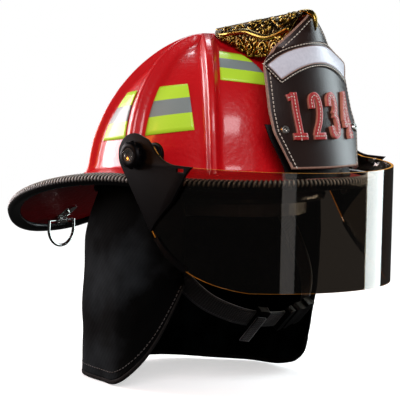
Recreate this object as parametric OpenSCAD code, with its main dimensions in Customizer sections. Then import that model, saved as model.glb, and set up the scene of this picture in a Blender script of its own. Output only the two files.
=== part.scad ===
// Traditional fire helmet with a leather front, a cast eagle, a swing-down visor and an ear flap.
// Millimetres, +Z up, the face looks along -Y, the wearer's right is -X.
// The origin is the middle of the head opening, level with the brim at the ears.

/* [Shell] */
// Width of the dome at its base, between the ribs
dome_width = 195; // [185:1:205]
// Reach of the dome in front of its centre
dome_front = 108; // [100:1:112]
// Reach of the dome behind its centre
dome_rear = 103; // [96:1:108]
// Height of the dome between the ribs
dome_height = 114; // [108:1:120]
// Thickness of the moulded wall
wall = 3.2; // [2.6:0.1:4]
// How far the ribs stand out from the dome
rib_height = 9; // [5:0.5:11]
// Width of a rib at half its height
rib_width = 9; // [7:0.5:12]

/* [Brim] */
// Width over the edge beading
brim_width = 252; // [246:1:254]
// Reach of the brim in front of the centre
brim_front = 160; // [150:1:164]
// Reach of the brim behind the centre
brim_rear = 216; // [195:1:220]
// How far the tail of the brim hangs below its sides
tail_drop = 62; // [45:1:70]
// Height of the edge beading
bead_height = 9.6; // [8:0.2:12]
// Depth of the edge beading
bead_depth = 12; // [9:0.5:14]

/* [Visor] */
// Height of the lens
lens_height = 105; // [90:1:120]
// Thickness of the lens
lens_thickness = 2.4; // [2:0.1:3]
// Width over the lens
lens_width = 260.4; // [260:0.2:264]
// Reach of the lens in front of the centre
lens_front = 179; // [177:1:190]
// Thickness of the side plates
plate_thickness = 2.4; // [2:0.1:3]
// Bore of the pivot in the plates and the lens
pivot_bore = 10; // [8:0.5:12]
// Radius of the plate round the pivot
plate_radius = 19; // [17:0.5:21]
// Radius of the tension knob
knob_radius = 11.5; // [10:0.5:14]

/* [Front piece] */
// Width of the leather front at its shoulders
front_width = 115; // [100:1:120]
// Thickness of the leather
leather = 3.6; // [2.5:0.1:4.5]
// How far the sides of the leather front stand back from its middle
front_bow = 17; // [14:0.5:20]

/* [Suspension] */
// Inside length of the headband
band_length = 184; // [178:1:188]
// Inside width of the headband
band_width = 150; // [144:1:156]
// Height of the headband
band_height = 30; // [24:1:36]
// Thickness of the impact cap
cap_thickness = 9; // [6:0.5:11]
// Width of the webbing of the crown straps
webbing = 20; // [15:1:25]
// Radius of the ratchet knob
ratchet_radius = 15; // [13:0.5:17]

/* [Soft parts] */
// Length of the ear flap at the back
flap_length = 174; // [150:1:180]
// Thickness of the quilted ear flap
flap_thickness = 3.5; // [2.5:0.1:5]
// Width of the chin strap
chin_width = 19; // [15:1:25]

/* [Hanging ring] */
// Diameter of the wire of the ring
ring_wire = 3; // [2.4:0.1:3.6]
// Inside width of the ring
ring_width = 30; // [28:1:36]

/* [Hidden] */

centre_y = -8;          // middle of the dome's base along the helmet
crown_back = 0.07;      // how far the dome leans back for each millimetre up
rib_count = 8;          // ribs that meet at the crown
rib_pitch = 360 / rib_count;
crown_rise = 10;        // how far the ribs stand above the crown
side_round = 2.05;      // roundness of the dome at the ears, 2 being an ellipse
lean = 0.72;            // how much fuller the front of the dome is than the back
brim_root = 3;          // height where the brim leaves the dome
brim_thickness = 3;     // brim under the edge beading
bead_lip = 1.5;         // beading outside the brim's edge
bead_slack = 0.45;      // room for the brim in the slot of the beading
edge_fall = 5;          // brim's middle plane below the top of the beading

// Points and directions in plan, where 0 degrees is the front and 90 the wearer's right
function reach(a, side, front, rear, n) =
  pow(pow(abs(sin(a)) / side, n) + pow(abs(cos(a)) / (cos(a) > 0 ? front : rear), n), -1 / n);
function spot(a, r, z) = [-sin(a) * r, centre_y + crown_back * max(0, z) - cos(a) * r, z];
function mix(a, b, t) = a + (b - a) * t;
function turned(v, a) = [v[0] * cos(a) - v[1] * sin(a), v[0] * sin(a) + v[1] * cos(a)];
function bezier(a, b, c, n, skip = 0) =
  [for (i = [skip:n]) let (t = i / n) a * pow(1 - t, 2) + b * 2 * t * (1 - t) + c * t * t];
function arc(c, r, from, to, n) =
  [for (i = [0:n]) let (a = mix(from, to, i / n)) c + r * [cos(a), sin(a)]];

// Dome
function dome_reach(a) = reach(a, dome_width / 2, dome_front, dome_rear, 2.1);
function roundness(a) = side_round + lean * cos(a) + 0.22 * pow(cos(a), 2);
function rib_share(d, w) = 1 / (1 + pow(abs(d) / (w / 2), 4));
// A point of the dome: direction, climb from 0 at the base to 90 at the crown, inset, rib share
function dome_point(a, climb, inset, share) =
  let (
    p = 2 / roundness(a),
    r = (dome_reach(a) - inset + share * rib_height) * pow(cos(climb), p),
    z = (dome_height - inset + share * crown_rise) * pow(sin(climb), p)
  ) spot(a, r, z);
// Angle from the nearest rib
function from_rib(a) = a - rib_pitch * round(a / rib_pitch);
// Radius of the dome between the ribs at a height
function dome_radius_at(a, z) =
  let (p = roundness(a)) dome_reach(a) * pow(1 - pow(z / dome_height, p), 1 / p);

// Brim: height of the beading's top along the helmet, and the brim's edge
function bead_top(y) =
  let (t = (y + 20) / 220)
  y < -20 ? 2.5 * pow((y + 20) / 148, 2)
          : -tail_drop * (0.8 * t * t + 0.17 * pow(t, 8));
function edge_reach(a) =
  reach(a, brim_width / 2 - bead_lip, brim_front - bead_lip, brim_rear - bead_lip,
        cos(a) > 0 ? 2.25 : 2.5);
function edge_point(a) =
  let (p = spot(a, edge_reach(a), 0)) [p[0], p[1], bead_top(p[1]) - edge_fall];
function brim_z(a, t) = let (e = edge_point(a)) brim_root + (e[2] - brim_root) * pow(t, 1.15);
function brim_point(a, t, share, drop) =
  let (r0 = dome_reach(a) + share * rib_height)
  spot(a, mix(r0, edge_reach(a), t), brim_z(a, t) - drop);
// Slope of the brim at its edge, in degrees below the level
function edge_tilt(a) =
  atan2(brim_z(a, 0.9) - brim_z(a, 1), 0.1 * (edge_reach(a) - dome_reach(a)));

// Share of a width across the edge that a radial plane shows, where the edge runs askew to it
function edge_skew(a) =
  let (p = edge_point(a - 1), q = edge_point(a + 1), v = [q[1] - p[1], p[0] - q[0]])
  abs(v * [-sin(a), -cos(a)]) / norm(v);
function edge_slope(a) = atan(tan(edge_tilt(a)) / edge_skew(a));
// Share of the brim's reach at its lower edge, so that the edge is square to the brim
function low_edge_share(a) =
  let (t = edge_slope(a))
  1 - brim_thickness * sin(t) * cos(t) / edge_skew(a) / (edge_reach(a) - dome_reach(a));
// Closed skin through rings of equal length, with a point at each end
function skin_faces(rings, n) =
  concat(
    [for (i = [0:rings - 2], j = [0:n - 1], k = [0, 1])
      let (a = i * n + j, b = i * n + (j + 1) % n, c = a + n, d = b + n)
      k == 0 ? [a, d, b] : [a, c, d]],
    [for (j = [0:n - 1]) [rings * n, j, (j + 1) % n]],
    [for (j = [0:n - 1]) let (s = (rings - 1) * n) [rings * n + 1, s + (j + 1) % n, s + j]]
  );
// Ring of rings closed on itself both ways
function hoop_faces(rings, n) =
  [for (i = [0:rings - 1], j = [0:n - 1], k = [0, 1])
    let (e = (i + 1) % rings, a = i * n + j, b = i * n + (j + 1) % n,
         c = e * n + j, d = e * n + (j + 1) % n)
    k == 0 ? [a, b, d] : [a, d, c]];
// Row of closed sections, each running out along one side and back along the other
function loft_faces(rings, n) =
  concat(
    [for (i = [0:rings - 2], j = [0:n - 1], k = [0, 1])
      let (a = i * n + j, b = i * n + (j + 1) % n, c = a + n, d = b + n)
      k == 0 ? [a, b, d] : [a, d, c]],
    [for (j = [0:n / 2 - 2], k = [0, 1])
      k == 0 ? [j, n - 2 - j, j + 1] : [j, n - 1 - j, n - 2 - j]],
    [for (j = [0:n / 2 - 2], k = [0, 1]) let (s = (rings - 1) * n)
      k == 0 ? [s + j, s + j + 1, s + n - 2 - j] : [s + j, s + n - 2 - j, s + n - 1 - j]]
  );
module loft(sections) {
  n = len(sections[0]);
  polyhedron(points = [for (s = sections) each s], faces = loft_faces(len(sections), n));
}
// Sheet of even thickness over a grid of points, given as rows of front and back points
module sheet(front, back) {
  rows = len(front);
  n = len(front[0]);
  loft([for (i = [0:rows - 1]) concat(front[i], [for (j = [n - 1:-1:0]) back[i][j]])]);
}

// Outer shell
rib_offsets = [0, 0.28, 0.5, 0.72, 1.05];
crown_spread = 0.95;    // how the ribs widen towards the crown
function column_angle(k, j, r) =
  let (
    s = j < 7 ? 1 : -1,
    m = j < 7 ? j : 12 - j,
    d = rib_offsets[min(m, 4)] * rib_width,
    cap = min(m, 4) * 0.16 * rib_pitch / 2,
    rim = min(asin(min(0.9, d / max(r, 1))), max(cap, 0)),
    off = m < 5 ? rim : mix(rim, rib_pitch / 2, (m - 4) / 2)
  ) rib_pitch * (j < 7 ? k : k + 1) + s * off;
function shell_ring(climb, inset, wide, fade) =
  [for (k = [0:rib_count - 1], j = [0:11])
    let (
      r = dome_reach(rib_pitch * k) * pow(cos(climb), crown_spread),
      a = column_angle(k, j, r),
      d = r * sin(from_rib(a))
    ) dome_point(a, climb, inset, fade * rib_share(d, wide))];
function brim_ring(t, drop, fade) =
  [for (k = [0:rib_count - 1], j = [0:11])
    let (
      a = column_angle(k, j, dome_reach(rib_pitch * k)),
      d = dome_reach(a) * sin(from_rib(a))
    ) brim_point(a, t < 1 || drop == 0 ? t : low_edge_share(a), fade * rib_share(d, rib_width), drop)];
// Ring where the inside of the dome meets the underside of the brim
inner_rib = 0.85;
inner_foot = brim_root + 1;
function foot_ring(wide) =
  [for (k = [0:rib_count - 1], j = [0:11])
    let (a = column_angle(k, j, dome_reach(rib_pitch * k)), d = dome_reach(a) * sin(from_rib(a)))
    spot(a, dome_reach(a) - wall + inner_rib * rib_height * rib_share(d, wide), inner_foot)];
outer_climbs = [86, 80, 72, 62, 51, 40, 29, 18, 9];
inner_climbs = [12, 26, 42, 58, 74, 85];
module outer_shell() {
  rings = concat(
    [for (c = outer_climbs) shell_ring(c, 0, rib_width, 1)],
    [brim_ring(0.02, -5, 1), brim_ring(0.09, -1.2, 0.8)],
    [for (t = [0.25, 0.5, 0.75, 1]) brim_ring(t, 0, 0)],
    [for (t = [1, 0.6, 0.15]) brim_ring(t, brim_thickness, 0)],
    [foot_ring(rib_width * 0.42)],
    [for (c = inner_climbs) shell_ring(c, wall, rib_width * 0.42, inner_rib)]
  );
  n = rib_count * 12;
  points = concat([for (r = rings) each r],
    [spot(0, 0, dome_height + crown_rise), spot(0, 0, dome_height - wall + crown_rise * inner_rib)]);
  color("#b51218")
    difference() {
      polyhedron(points = points, faces = skin_faces(len(rings), n));
      bracket_rivet_places() cylinder(h = 16, d = rivet_shank + 0.2, center = true, $fn = 24);
      ring_rivet_places() cylinder(h = 30, d = rivet_shank + 0.2, center = true, $fn = 24);
      eagle_screw_places() cylinder(h = 40, d = screw_diameter + 0.4, center = true, $fn = 24);
    }
}

// Beading round the brim's edge, with a section in the plane of each of the shell's columns
bead_angles = [for (k = [0:rib_count - 1], j = [0:11])
  column_angle(k, j, dome_reach(rib_pitch * k))];
function bead_profile(slope) =
  let (h = bead_height / 2, d = bead_depth - bead_lip,
       s = brim_thickness / 2 * cos(slope) + bead_slack,
       back = bead_slack - brim_thickness / 2 * sin(slope))
  [[-d, h * 0.7], [-d * 0.8, h * 0.95], [-2, h], [bead_lip * 0.6, h * 0.65],
   [bead_lip * 0.6, -h * 0.65], [-2, -h], [-d * 0.8, -h * 0.95], [-d, -h * 0.7],
   [-d, -s], [back, -s], [back, s], [-d, s]];
module edge_beading() {
  rings = [for (a = bead_angles)
    let (e = edge_point(a), r = edge_reach(a), t = edge_slope(a), k = edge_skew(a))
    [for (q = bead_profile(t))
      let (v = turned(q, -t)) spot(a, r + v[0] / k, e[2] - brim_thickness / 2 + v[1])]];
  color("#1c1c1d")
    polyhedron(points = [for (r = rings) each r],
               faces = hoop_faces(len(bead_angles), len(rings[0])));
}

// Reflective trapezoids on the panels between the ribs, higher on the two front panels
trim_climbs = [15.5, 40];
trim_front_climbs = [38, 66];
trim_thickness = 0.5;
trim_lift = 0.85;
trim_steps = 4;
trim_gap_low = [11, 6.5];  // from the rib in front and the rib behind, at the lower edge
trim_gap_high = [15, 9];    // and at the upper edge
function trim_row(k, climb, v, lift) =
  let (r = dome_reach(rib_pitch * (k + 0.5)) * pow(cos(climb), 2 / roundness(rib_pitch * (k + 0.5))),
       fore = asin((rib_width / 2 + mix(trim_gap_low[0], trim_gap_high[0], v)) / r),
       aft = asin((rib_width / 2 + mix(trim_gap_low[1], trim_gap_high[1], v)) / r),
       right = k < rib_count / 2,
       from = rib_pitch * k + (right ? fore : aft), to = rib_pitch * (k + 1) - (right ? aft : fore))
  [for (i = [0:5]) dome_point(mix(from, to, i / 5), climb, -lift, 0)];
module reflective_trim() {
  color("#b9d836")
    for (k = [0:rib_count - 1]) {
      ahead = k == 0 || k == rib_count - 1;
      climbs = ahead ? trim_front_climbs : trim_climbs;
      steps = [for (i = [0:trim_steps]) i / trim_steps];
      sheet([for (v = steps)
              trim_row(k, mix(climbs[0], climbs[1], v), v * (ahead ? 0.3 : 1), trim_lift + trim_thickness)],
            [for (v = steps)
              trim_row(k, mix(climbs[0], climbs[1], v), v * (ahead ? 0.3 : 1), trim_lift)]);
    }
}

// Cast eagle over the front rib, whose beak hooks over the leather
eagle_top = [-123, 147];
eagle_tail = [-15, 126];
eagle_wall = 3;
eagle_steps = [0, 0.04, 0.08, 0.12, 0.16, 0.2, 0.26, 0.34, 0.44, 0.54, 0.66, 0.78, 0.9, 1];
eagle_clear = 1.15;     // room between the casting and the shell
// Height of the shell's outside over a point in plan, found in a few rounds as the dome leans back
function shell_top(x, y) = top_under(x, y, top_under(x, y, top_under(x, y, 110)));
function top_under(x, y, guess) =
  let (
    m = centre_y + crown_back * max(0, guess),
    d = norm([x, y - m]), a = atan2(x, m - y), n = roundness(a),
    q = dome_reach(a) * pow(min(1, d / dome_reach(a)), crown_spread * n / 2),
    k = rib_share(q * sin(from_rib(a)), rib_width * 1.15),
    u = d / (dome_reach(a) + k * rib_height)
  ) u < 1 ? (dome_height + k * crown_rise) * pow(1 - pow(u, n), 1 / n) : -100;
function eagle_line(t) = [mix(eagle_tail[0], eagle_top[0], t),
                          mix(eagle_tail[1], eagle_top[1], t) + 5 * sin(180 * t)];
function front_rib_top(y) = rib_under(y, rib_under(y, rib_under(y, 110)));
function rib_under(y, guess) =
  let (r = dome_front + rib_height, p = roundness(0),
       u = max(0, min(0.9, (centre_y + crown_back * guess - y) / r)))
  (dome_height + crown_rise) * pow(1 - pow(u, p), 1 / p);
function eagle_foot(t) =
  let (y = mix(eagle_tail[0] - 1, -97, t)) [y, front_rib_top(y) - 6 - 3 * t];
function eagle_half(t) = 9 + 15 * pow(t, 0.8);
// Outer outline of a section, from one foot over the crest to the other, and the same inside it
function eagle_rib(t, s, u, inset) =
  let (c = eagle_line(t), f = eagle_foot(t), w = eagle_half(t) - inset,
       wave = inset > 0 ? 0 : 1.2 * sin(1080 * t) * sin(180 * u),
       x = s * w * pow(sin(90 * u), 0.8), y = mix(c[0], f[0], u),
       z = mix(c[1] - inset * 1.4, f[1], pow(u, 1.5)) + wave)
  [x, y, max(z, shell_top(x, y) + eagle_clear + 0.6 * (eagle_wall - inset))];
function eagle_section(t) = [for (i = [-6:6]) eagle_rib(t, sign(i), abs(i) / 6, 0)];
function eagle_inner(t) = [for (i = [6:-1:-6]) eagle_rib(t, sign(i), abs(i) / 6, eagle_wall)];
function above_shell(p, r) = [p[0], p[1], max(p[2], shell_top(p[0], p[1]) + 1.5 * eagle_clear + r)];
module feather(from, to, w, h) {
  middle = mix(from, to, 0.55) + [0, 0, h];
  hull() {
    translate(above_shell(from, w * 0.6)) sphere(r = w * 0.5, $fn = 5);
    translate(above_shell(middle, w * 0.8)) sphere(r = w * 0.72, $fn = 5);
    translate(above_shell(to, w * 0.5)) sphere(r = w * 0.3, $fn = 4);
  }
}
module eagle() {
  color("#a8842c") difference() {
    union() {
      loft([for (t = eagle_steps) concat(eagle_section(t), eagle_inner(t))]);
      for (s = [-1, 1], row = [0:2], i = [0:4]) {
        t = 0.14 + i * 0.17 + row * 0.03;
        u = 0.24 + row * 0.24;
        base = eagle_rib(t, s, u, 0.8);
        feather(base, base + [s * 1.5, 13, -4.2], mix(5, 7.4, t), 1);
      }
      eagle_head();
      eagle_bosses();
    }
    eagle_screw_places() cylinder(h = 5.5, d = screw_diameter + 0.1, $fn = 24);
    leather_sheet(leather_room);
  }
}
// Bosses inside the casting that stand on the front rib, bored for the screws
eagle_screw_at = [-34, -58];
boss_gap = 0.7;
function eagle_crest(y) = eagle_line((eagle_tail[0] - y) / (eagle_tail[0] - eagle_top[0]))[1];
module eagle_screw_places() {
  for (y = eagle_screw_at) translate([0, y, front_rib_top(y)]) children();
}
module eagle_bosses() {
  for (y = eagle_screw_at) translate([0, y, front_rib_top(y) + boss_gap + 0.8])
    cylinder(h = eagle_crest(y) - front_rib_top(y) - 3, r = 4.5, $fn = 32);
}
// Head and beak, from the neck over the top edge of the leather
module eagle_head() {
  top = [0, eagle_top[0], eagle_top[1]];
  hull() {
    translate(top + [0, 9, -4]) sphere(r = 7, $fn = 10);
    translate(top + [0, 0, -4]) sphere(r = 6, $fn = 10);
  }
  hull() {
    translate(top + [0, -1, -4]) sphere(r = 5, $fn = 10);
    translate(top + [0, -7, -8]) sphere(r = 3, $fn = 8);
  }
  hull() {
    translate(top + [0, -7, -8]) sphere(r = 3, $fn = 8);
    translate(top + [0, -8.5, -15]) sphere(r = 1.2, $fn = 6);
  }
}

// Screws from inside the dome up through the rib into the eagle's bosses
screw_head_drop = [14.8, 14.3];
module eagle_screws() {
  color("#8c8c8c")
    for (i = [0, 1]) {
      y = eagle_screw_at[i];
      translate([0, y, front_rib_top(y) - screw_head_drop[i] - 2]) {
        cylinder(h = screw_head_drop[i] + 6.5, d = screw_diameter, $fn = 24);
        cylinder(h = 2, d = 8, $fn = 32);
      }
    }
}

// Leather front: a shield that is curved across and leans back
front_bottom = 10;
front_apex = 141;
front_foot_y = -157;
front_lean = 13.2;
// Heights, and the shield's half width there as a share of half the width at the shoulders
front_outline = [[front_bottom, 0.79], [42, 1], [101, 0.95], [104.5, 0.88], [109, 0.77],
                 [118, 0.605], [128, 0.405], [136, 0.21], [front_apex, 0.027]];
function front_half(z) = front_width / 2 * lookup(z, front_outline);
function bow_at(z) =
  front_bow * (z < 60 ? mix(0.56, 1, (z - front_bottom) / 50) : pow(min(1, front_half(z) / 38), 1.6));
// Direction that the shield's face turns to at a distance from its middle
function front_turn(x, z) = atan(2 * bow_at(z) * x / pow(front_half(z), 2));
function front_face(x, z, back) =
  let (b = front_turn(x, z), sag = bow_at(z) * pow(x / front_half(z), 2),
       y = front_foot_y + (z - front_bottom) * tan(front_lean) + sag)
  [x - back * sin(b), y + back * cos(b), z];
front_rows = [front_apex, 136, 128, 118, 109, 104.5, 101, 82, 62, 42, 26, front_bottom];
leather_room = 0.3;     // room round the leather's tip in the slot under the beak
module leather_sheet(room) {
  across = [for (i = [-6:6]) i / 6];
  high = [0, 0, room];
  sheet([for (z = front_rows)
          [for (u = across) front_face(u * (front_half(z) + room), z, -room) + high]],
        [for (z = front_rows)
          [for (u = across) front_face(u * (front_half(z) + room), z, leather + room) + high]]);
}
module leather_front() {
  color("#241a15")
    difference() {
      leather_sheet(0);
      front_screw_places() cylinder(h = 24, d = screw_diameter + 0.4, center = true, $fn = 24);
    }
}
// Pale banner in the stitched recess near the top, which falls away to its ends
banner_half = [51, 42];  // at its upper edge and at its lower edge
banner_middle = [117, 102];
banner_fall = [17, 14];
banner_leather = 1.25;
banner_lift = 1.2;
function banner_point(u, v, back) =
  let (h = mix(banner_half[0], banner_half[1], v),
       z = mix(banner_middle[0], banner_middle[1], v) - mix(banner_fall[0], banner_fall[1], v) * u * u)
  front_face(u * h, z, back);
module front_banner() {
  rows = [for (i = [0:2]) i / 2];
  across = [for (i = [-6:6]) i / 6];
  color("#e7e4dd")
    sheet(
      [for (v = rows) [for (u = across) banner_point(u, v, -banner_lift - banner_leather)]],
      [for (v = rows) [for (u = across) banner_point(u, v, -banner_lift)]]);
}
// Black plate behind the lower half of the leather, with a foot on the brim
bracket_thickness = 2;
bracket_gap = 7;
bracket_rows = [48, 36, 24, 12, 1];
bracket_back = (leather + bracket_gap + bracket_thickness) * cos(front_lean);
foot_metal = 2.5;
front_foot = [30, -143.8, 0.15];
front_foot_tilt = 7;
front_rivet_at = 7.6;
module front_foot_place(s) {
  translate([s * front_foot[0], front_foot[1], front_foot[2]]) rotate([front_foot_tilt, 0, 0])
    children();
}
module front_bracket() {
  across = [for (i = [-5:5]) i / 5];
  back = leather + bracket_gap;
  color("#151516") {
    difference() {
      sheet(
        [for (z = bracket_rows) [for (u = across) front_face(u * (front_half(z) + 2), z, back)]],
        [for (z = bracket_rows)
          [for (u = across) front_face(u * (front_half(z) + 2), z, back + bracket_thickness)]]);
      front_screw_places() cylinder(h = 50, d = screw_diameter + 0.4, center = true, $fn = 24);
    }
    front_screw_places() translate([0, 0, -bracket_back + 0.8])
      difference() {
        cylinder(h = bracket_back - 1.5 - leather * cos(front_lean), d = 11, $fn = 32);
        translate([0, 0, -1]) cylinder(h = bracket_gap + 2, d = screw_diameter + 0.4, $fn = 24);
      }
    for (s = [-1, 1])
      front_foot_place(s) difference() {
        translate([-8, 0, 0]) cube([16, 11.2, foot_metal]);
        translate([0, front_rivet_at, -1]) cylinder(h = 6, d = rivet_shank + 0.2, $fn = 24);
      }
  }
}
// Screws through the leather and the plate, with their nuts
screw_diameter = 4;
screw_x = 47;
screw_z = 44;
module front_screw_places() {
  for (s = [-1, 1]) {
    b = front_turn(screw_x, screw_z);
    p = front_face(s * screw_x, screw_z, 0);
    translate(p) rotate([0, 0, s * b]) rotate([90 - front_lean, 0, 0]) children();
  }
}
module front_screws() {
  grip = bracket_back;
  color("#c9c9c6")
    front_screw_places() {
      difference() {
        union() {
          translate([0, 0, 0.3]) cylinder(h = 1.8, d1 = 8.4, d2 = 6.6, $fn = 32);
          translate([0, 0, -grip - 5]) cylinder(h = grip + 5.6, d = screw_diameter, $fn = 24);
        }
        translate([0, 0, 1.2]) cube([4.4, 1.1, 2], center = true);
        translate([0, 0, 1.2]) cube([1.1, 4.4, 2], center = true);
      }
      translate([0, 0, -grip - 3.6])
        difference() {
          cylinder(h = 3, d = 8, $fn = 6);
          translate([0, 0, -1]) cylinder(h = 5, d = screw_diameter - 0.02, $fn = 24);
        }
    }
}

// Visor pivot: a bracket on the brim carries the boss that the plate and the lens turn on
pivot_y = -40;
pivot_z = 19;
stud_diameter = 6;
lens_centre_y = -60;
pivot_fit = 0.05;
washer_thickness = 0.8;
ear_x = 104.5;
ear_thickness = 3;
ear_radius = 10;
lens_inner_x = lens_width / 2 - lens_thickness;
plate_x = lens_width / 2;
seat_x = plate_x + plate_thickness + 0.1;
knob_x = seat_x + washer_thickness + 0.1;
knob_depth = 6;
rivet_shank = 4;
// Places children on the pivot axis, looking outwards from the middle; 1 is the wearer's right
module pivot_axis(s) {
  translate([0, pivot_y, pivot_z]) rotate([0, -s * 90, 0]) children();
}
// Foot of the bracket, tilted as the brim is
side_foot = [106, 0.5];
side_foot_tilt = [2.5, 15.6];
side_foot_length = 43;
module side_foot_place(s) {
  translate([-s * side_foot[0], pivot_y, side_foot[1]])
    rotate([side_foot_tilt[0], -s * side_foot_tilt[1], 0]) children();
}
module pivot_bracket(s) {
  color("#1a1a1b") {
    difference() {
      union() {
        pivot_axis(s) translate([0, 0, ear_x]) {
          cylinder(h = ear_thickness, r = ear_radius, $fn = 48);
          cylinder(h = lens_inner_x - 0.4 - ear_x, r = ear_radius - 2, $fn = 48);
          cylinder(h = seat_x - ear_x, r = pivot_bore / 2 - pivot_fit, $fn = 48);
        }
        translate([s > 0 ? -ear_x - ear_thickness : ear_x, 0, 0])
          rotate([90, 0, 90]) linear_extrude(height = ear_thickness)
            polygon([[pivot_y - ear_radius + 0.6, pivot_z - 2], [pivot_y - 12, 1.6],
                     [pivot_y + 12, 1.6], [pivot_y + ear_radius - 0.6, pivot_z - 2]]);
        side_foot_place(s) translate([s > 0 ? -3.8 : -2.8, -side_foot_length / 2, 0])
          cube([6.6, side_foot_length, foot_metal]);
      }
      pivot_axis(s) cylinder(h = 300, d = stud_diameter, center = true, $fn = 24);
      bracket_rivet_places() cylinder(h = 20, d = rivet_shank + 0.2, center = true, $fn = 24);
    }
  }
}
module pivot_bracket_right() { pivot_bracket(1); }
module pivot_bracket_left() { pivot_bracket(-1); }
module bracket_rivet_places() {
  for (s = [-1, 1], k = [-1, 1])
    side_foot_place(s) translate([-s * 0.5, k * 17.5, 0]) children();
  for (s = [-1, 1]) front_foot_place(s) translate([0, front_rivet_at, 0]) children();
}
module bracket_rivets() {
  color("#8f8f90")
    bracket_rivet_places() {
      translate([0, 0, -5]) cylinder(h = foot_metal + 5.4, d = rivet_shank, $fn = 24);
      translate([0, 0, foot_metal + 0.1]) cylinder(h = 1.5, d = 6, $fn = 24);
      translate([0, 0, -5.6]) cylinder(h = 1.1, d = 6, $fn = 24);
    }
}
module pivot_studs() {
  color("#8f8f90")
    for (s = [-1, 1])
      pivot_axis(s) {
        translate([0, 0, ear_x - 3])
          cylinder(h = knob_x - ear_x + 7.2, d = stud_diameter - 0.02, $fn = 24);
        translate([0, 0, ear_x - 3.1]) cylinder(h = 3, d = 11, $fn = 6);
      }
}
module friction_washers() {
  color("#a9a9a6")
    for (s = [-1, 1])
      pivot_axis(s) translate([0, 0, seat_x])
        difference() {
          cylinder(h = washer_thickness, d = pivot_bore + 9, $fn = 40);
          translate([0, 0, -1]) cylinder(h = 4, d = stud_diameter + 0.3, $fn = 24);
        }
}

// Visor lens: one bent sheet with an ear on each pivot
lens_top = 11;
function lens_bottom() = lens_top - lens_height;
pivot_spot = [pivot_y, pivot_z];
plate_corner = [-62, -47];
function plate_outline() =
  concat(
    arc(pivot_spot, plate_radius, -37, 112, 14),
    [[-56, 33.5], [-61, 29]],
    bezier([-61, 29], [-70, 15], [-88, 13.2], 6, 1),
    [[-109.7, 12.7], [-106, 9.6], [-101.9, 5], [-87, -18.6], [-73.2, -32.6], plate_corner + [-4, 6],
     plate_corner]
  );
// The lens seen from the side
lens_inset = 1.6;
function lens_outline() =
  let (d = -lens_front + centre_y - 4, low = lens_bottom())
  concat(
    arc(pivot_spot, plate_radius - lens_inset, -37, 112, 14),
    [[-55, 31.5], [-60, 27]],
    bezier([-60, 27], [-70, 13], [-88, lens_top + 0.6], 5, 1),
    [[-112, lens_top], [d, lens_top - 2.4], [d, low - 1.3], [-145, low - 0.9]],
    bezier([-145, low - 0.9], [-90, low + 9], plate_corner + [-1.5, -2], 10, 1)
  );
// Plan of the lens: straight ears that run into half an ellipse
function lens_nose(inset) = lens_front - centre_y + lens_centre_y - inset;
function lens_plan(inset) =
  [for (i = [-30:30])
    [(lens_width / 2 - inset) * sin(3 * i), lens_centre_y - lens_nose(inset) * cos(3 * i)]];
// Upright band that follows the lens in plan, between two insets from its outside
module lens_band(out, back) {
  outer = lens_plan(out);
  inner = lens_plan(back);
  a = lens_width / 2 - out;
  b = lens_width / 2 - back;
  translate([0, 0, -150]) linear_extrude(height = 220)
    polygon(concat([[-a, -10]], outer, [[a, -10], [b, -10]],
                   [for (i = [len(inner) - 1:-1:0]) inner[i]], [[-b, -10]]));
}
module across_slab() {
  translate([-160, 0, 0]) rotate([90, 0, 90]) linear_extrude(height = 320) children();
}
module visor_lens() {
  color([0.35, 0.22, 0.12, 0.6])
    difference() {
      intersection() {
        lens_band(0, lens_thickness);
        across_slab() polygon(lens_outline());
      }
      pivot_axis(1) cylinder(h = 400, d = pivot_bore, center = true, $fn = 48);
      for (s = [-1, 1], p = plate_rivets)
        rivet_axis(s, p) cylinder(h = 20, d = rivet_bore, center = true, $fn = 24);
    }
}
module side_slab(s, x, t) {
  translate([s > 0 ? -x - t : x, 0, 0]) rotate([90, 0, 90]) linear_extrude(height = t) children();
}
module visor_plate(s) {
  color("#161617")
    difference() {
      side_slab(s, plate_x, plate_thickness) polygon(plate_outline());
      pivot_axis(s) cylinder(h = 200, d = pivot_bore, $fn = 48);
      for (p = plate_rivets) rivet_axis(s, p) cylinder(h = 20, d = rivet_bore, center = true, $fn = 24);
      translate([-s * plate_x, -95.5, 9]) cube([12, 8, 3], center = true);
    }
}
module visor_plate_right() { visor_plate(1); }
module visor_plate_left() { visor_plate(-1); }
// Rivets between each plate and the lens
plate_rivets = [[-78, 2], [-66, -22]];
rivet_bore = 4.2;
module rivet_axis(s, p) {
  translate([-s * plate_x, p[0], p[1]]) rotate([0, -s * 90, 0]) children();
}
module visor_rivets() {
  color("#8d8f92")
    for (s = [-1, 1], p = plate_rivets)
      rivet_axis(s, p) {
        translate([0, 0, -4.8]) cylinder(h = plate_thickness + 4.7, d = rivet_bore - 0.1, $fn = 24);
        translate([0, 0, -5.4]) cylinder(h = 1, d = 6.6, $fn = 28);
      }
}
// Edge clips along the rear edge of the lens
edge_clip_width = 5;
function clip_run(off) =
  let (low = lens_bottom(), a = [-145, low - 0.9], b = [-90, low + 9], c = plate_corner + [-1.5, -2])
  [for (i = [0:6])
    let (t = mix(0.5, 0.96, i / 6), p = a * pow(1 - t, 2) + b * 2 * t * (1 - t) + c * t * t,
         v = (b - a) * (1 - t) + (c - b) * t, n = [v[1], -v[0]] / norm(v)) p + n * off];
module lens_clips() {
  color("#202022")
    difference() {
      intersection() {
        lens_band(-0.9, lens_thickness + 0.9);
        across_slab()
          polygon(concat(clip_run(1.5), [for (i = [6:-1:0]) clip_run(1.5 - edge_clip_width)[i]]));
      }
      intersection() {
        lens_band(-0.05, lens_thickness + 0.05);
        across_slab() offset(delta = 0.05) polygon(lens_outline());
      }
    }
}

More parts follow.
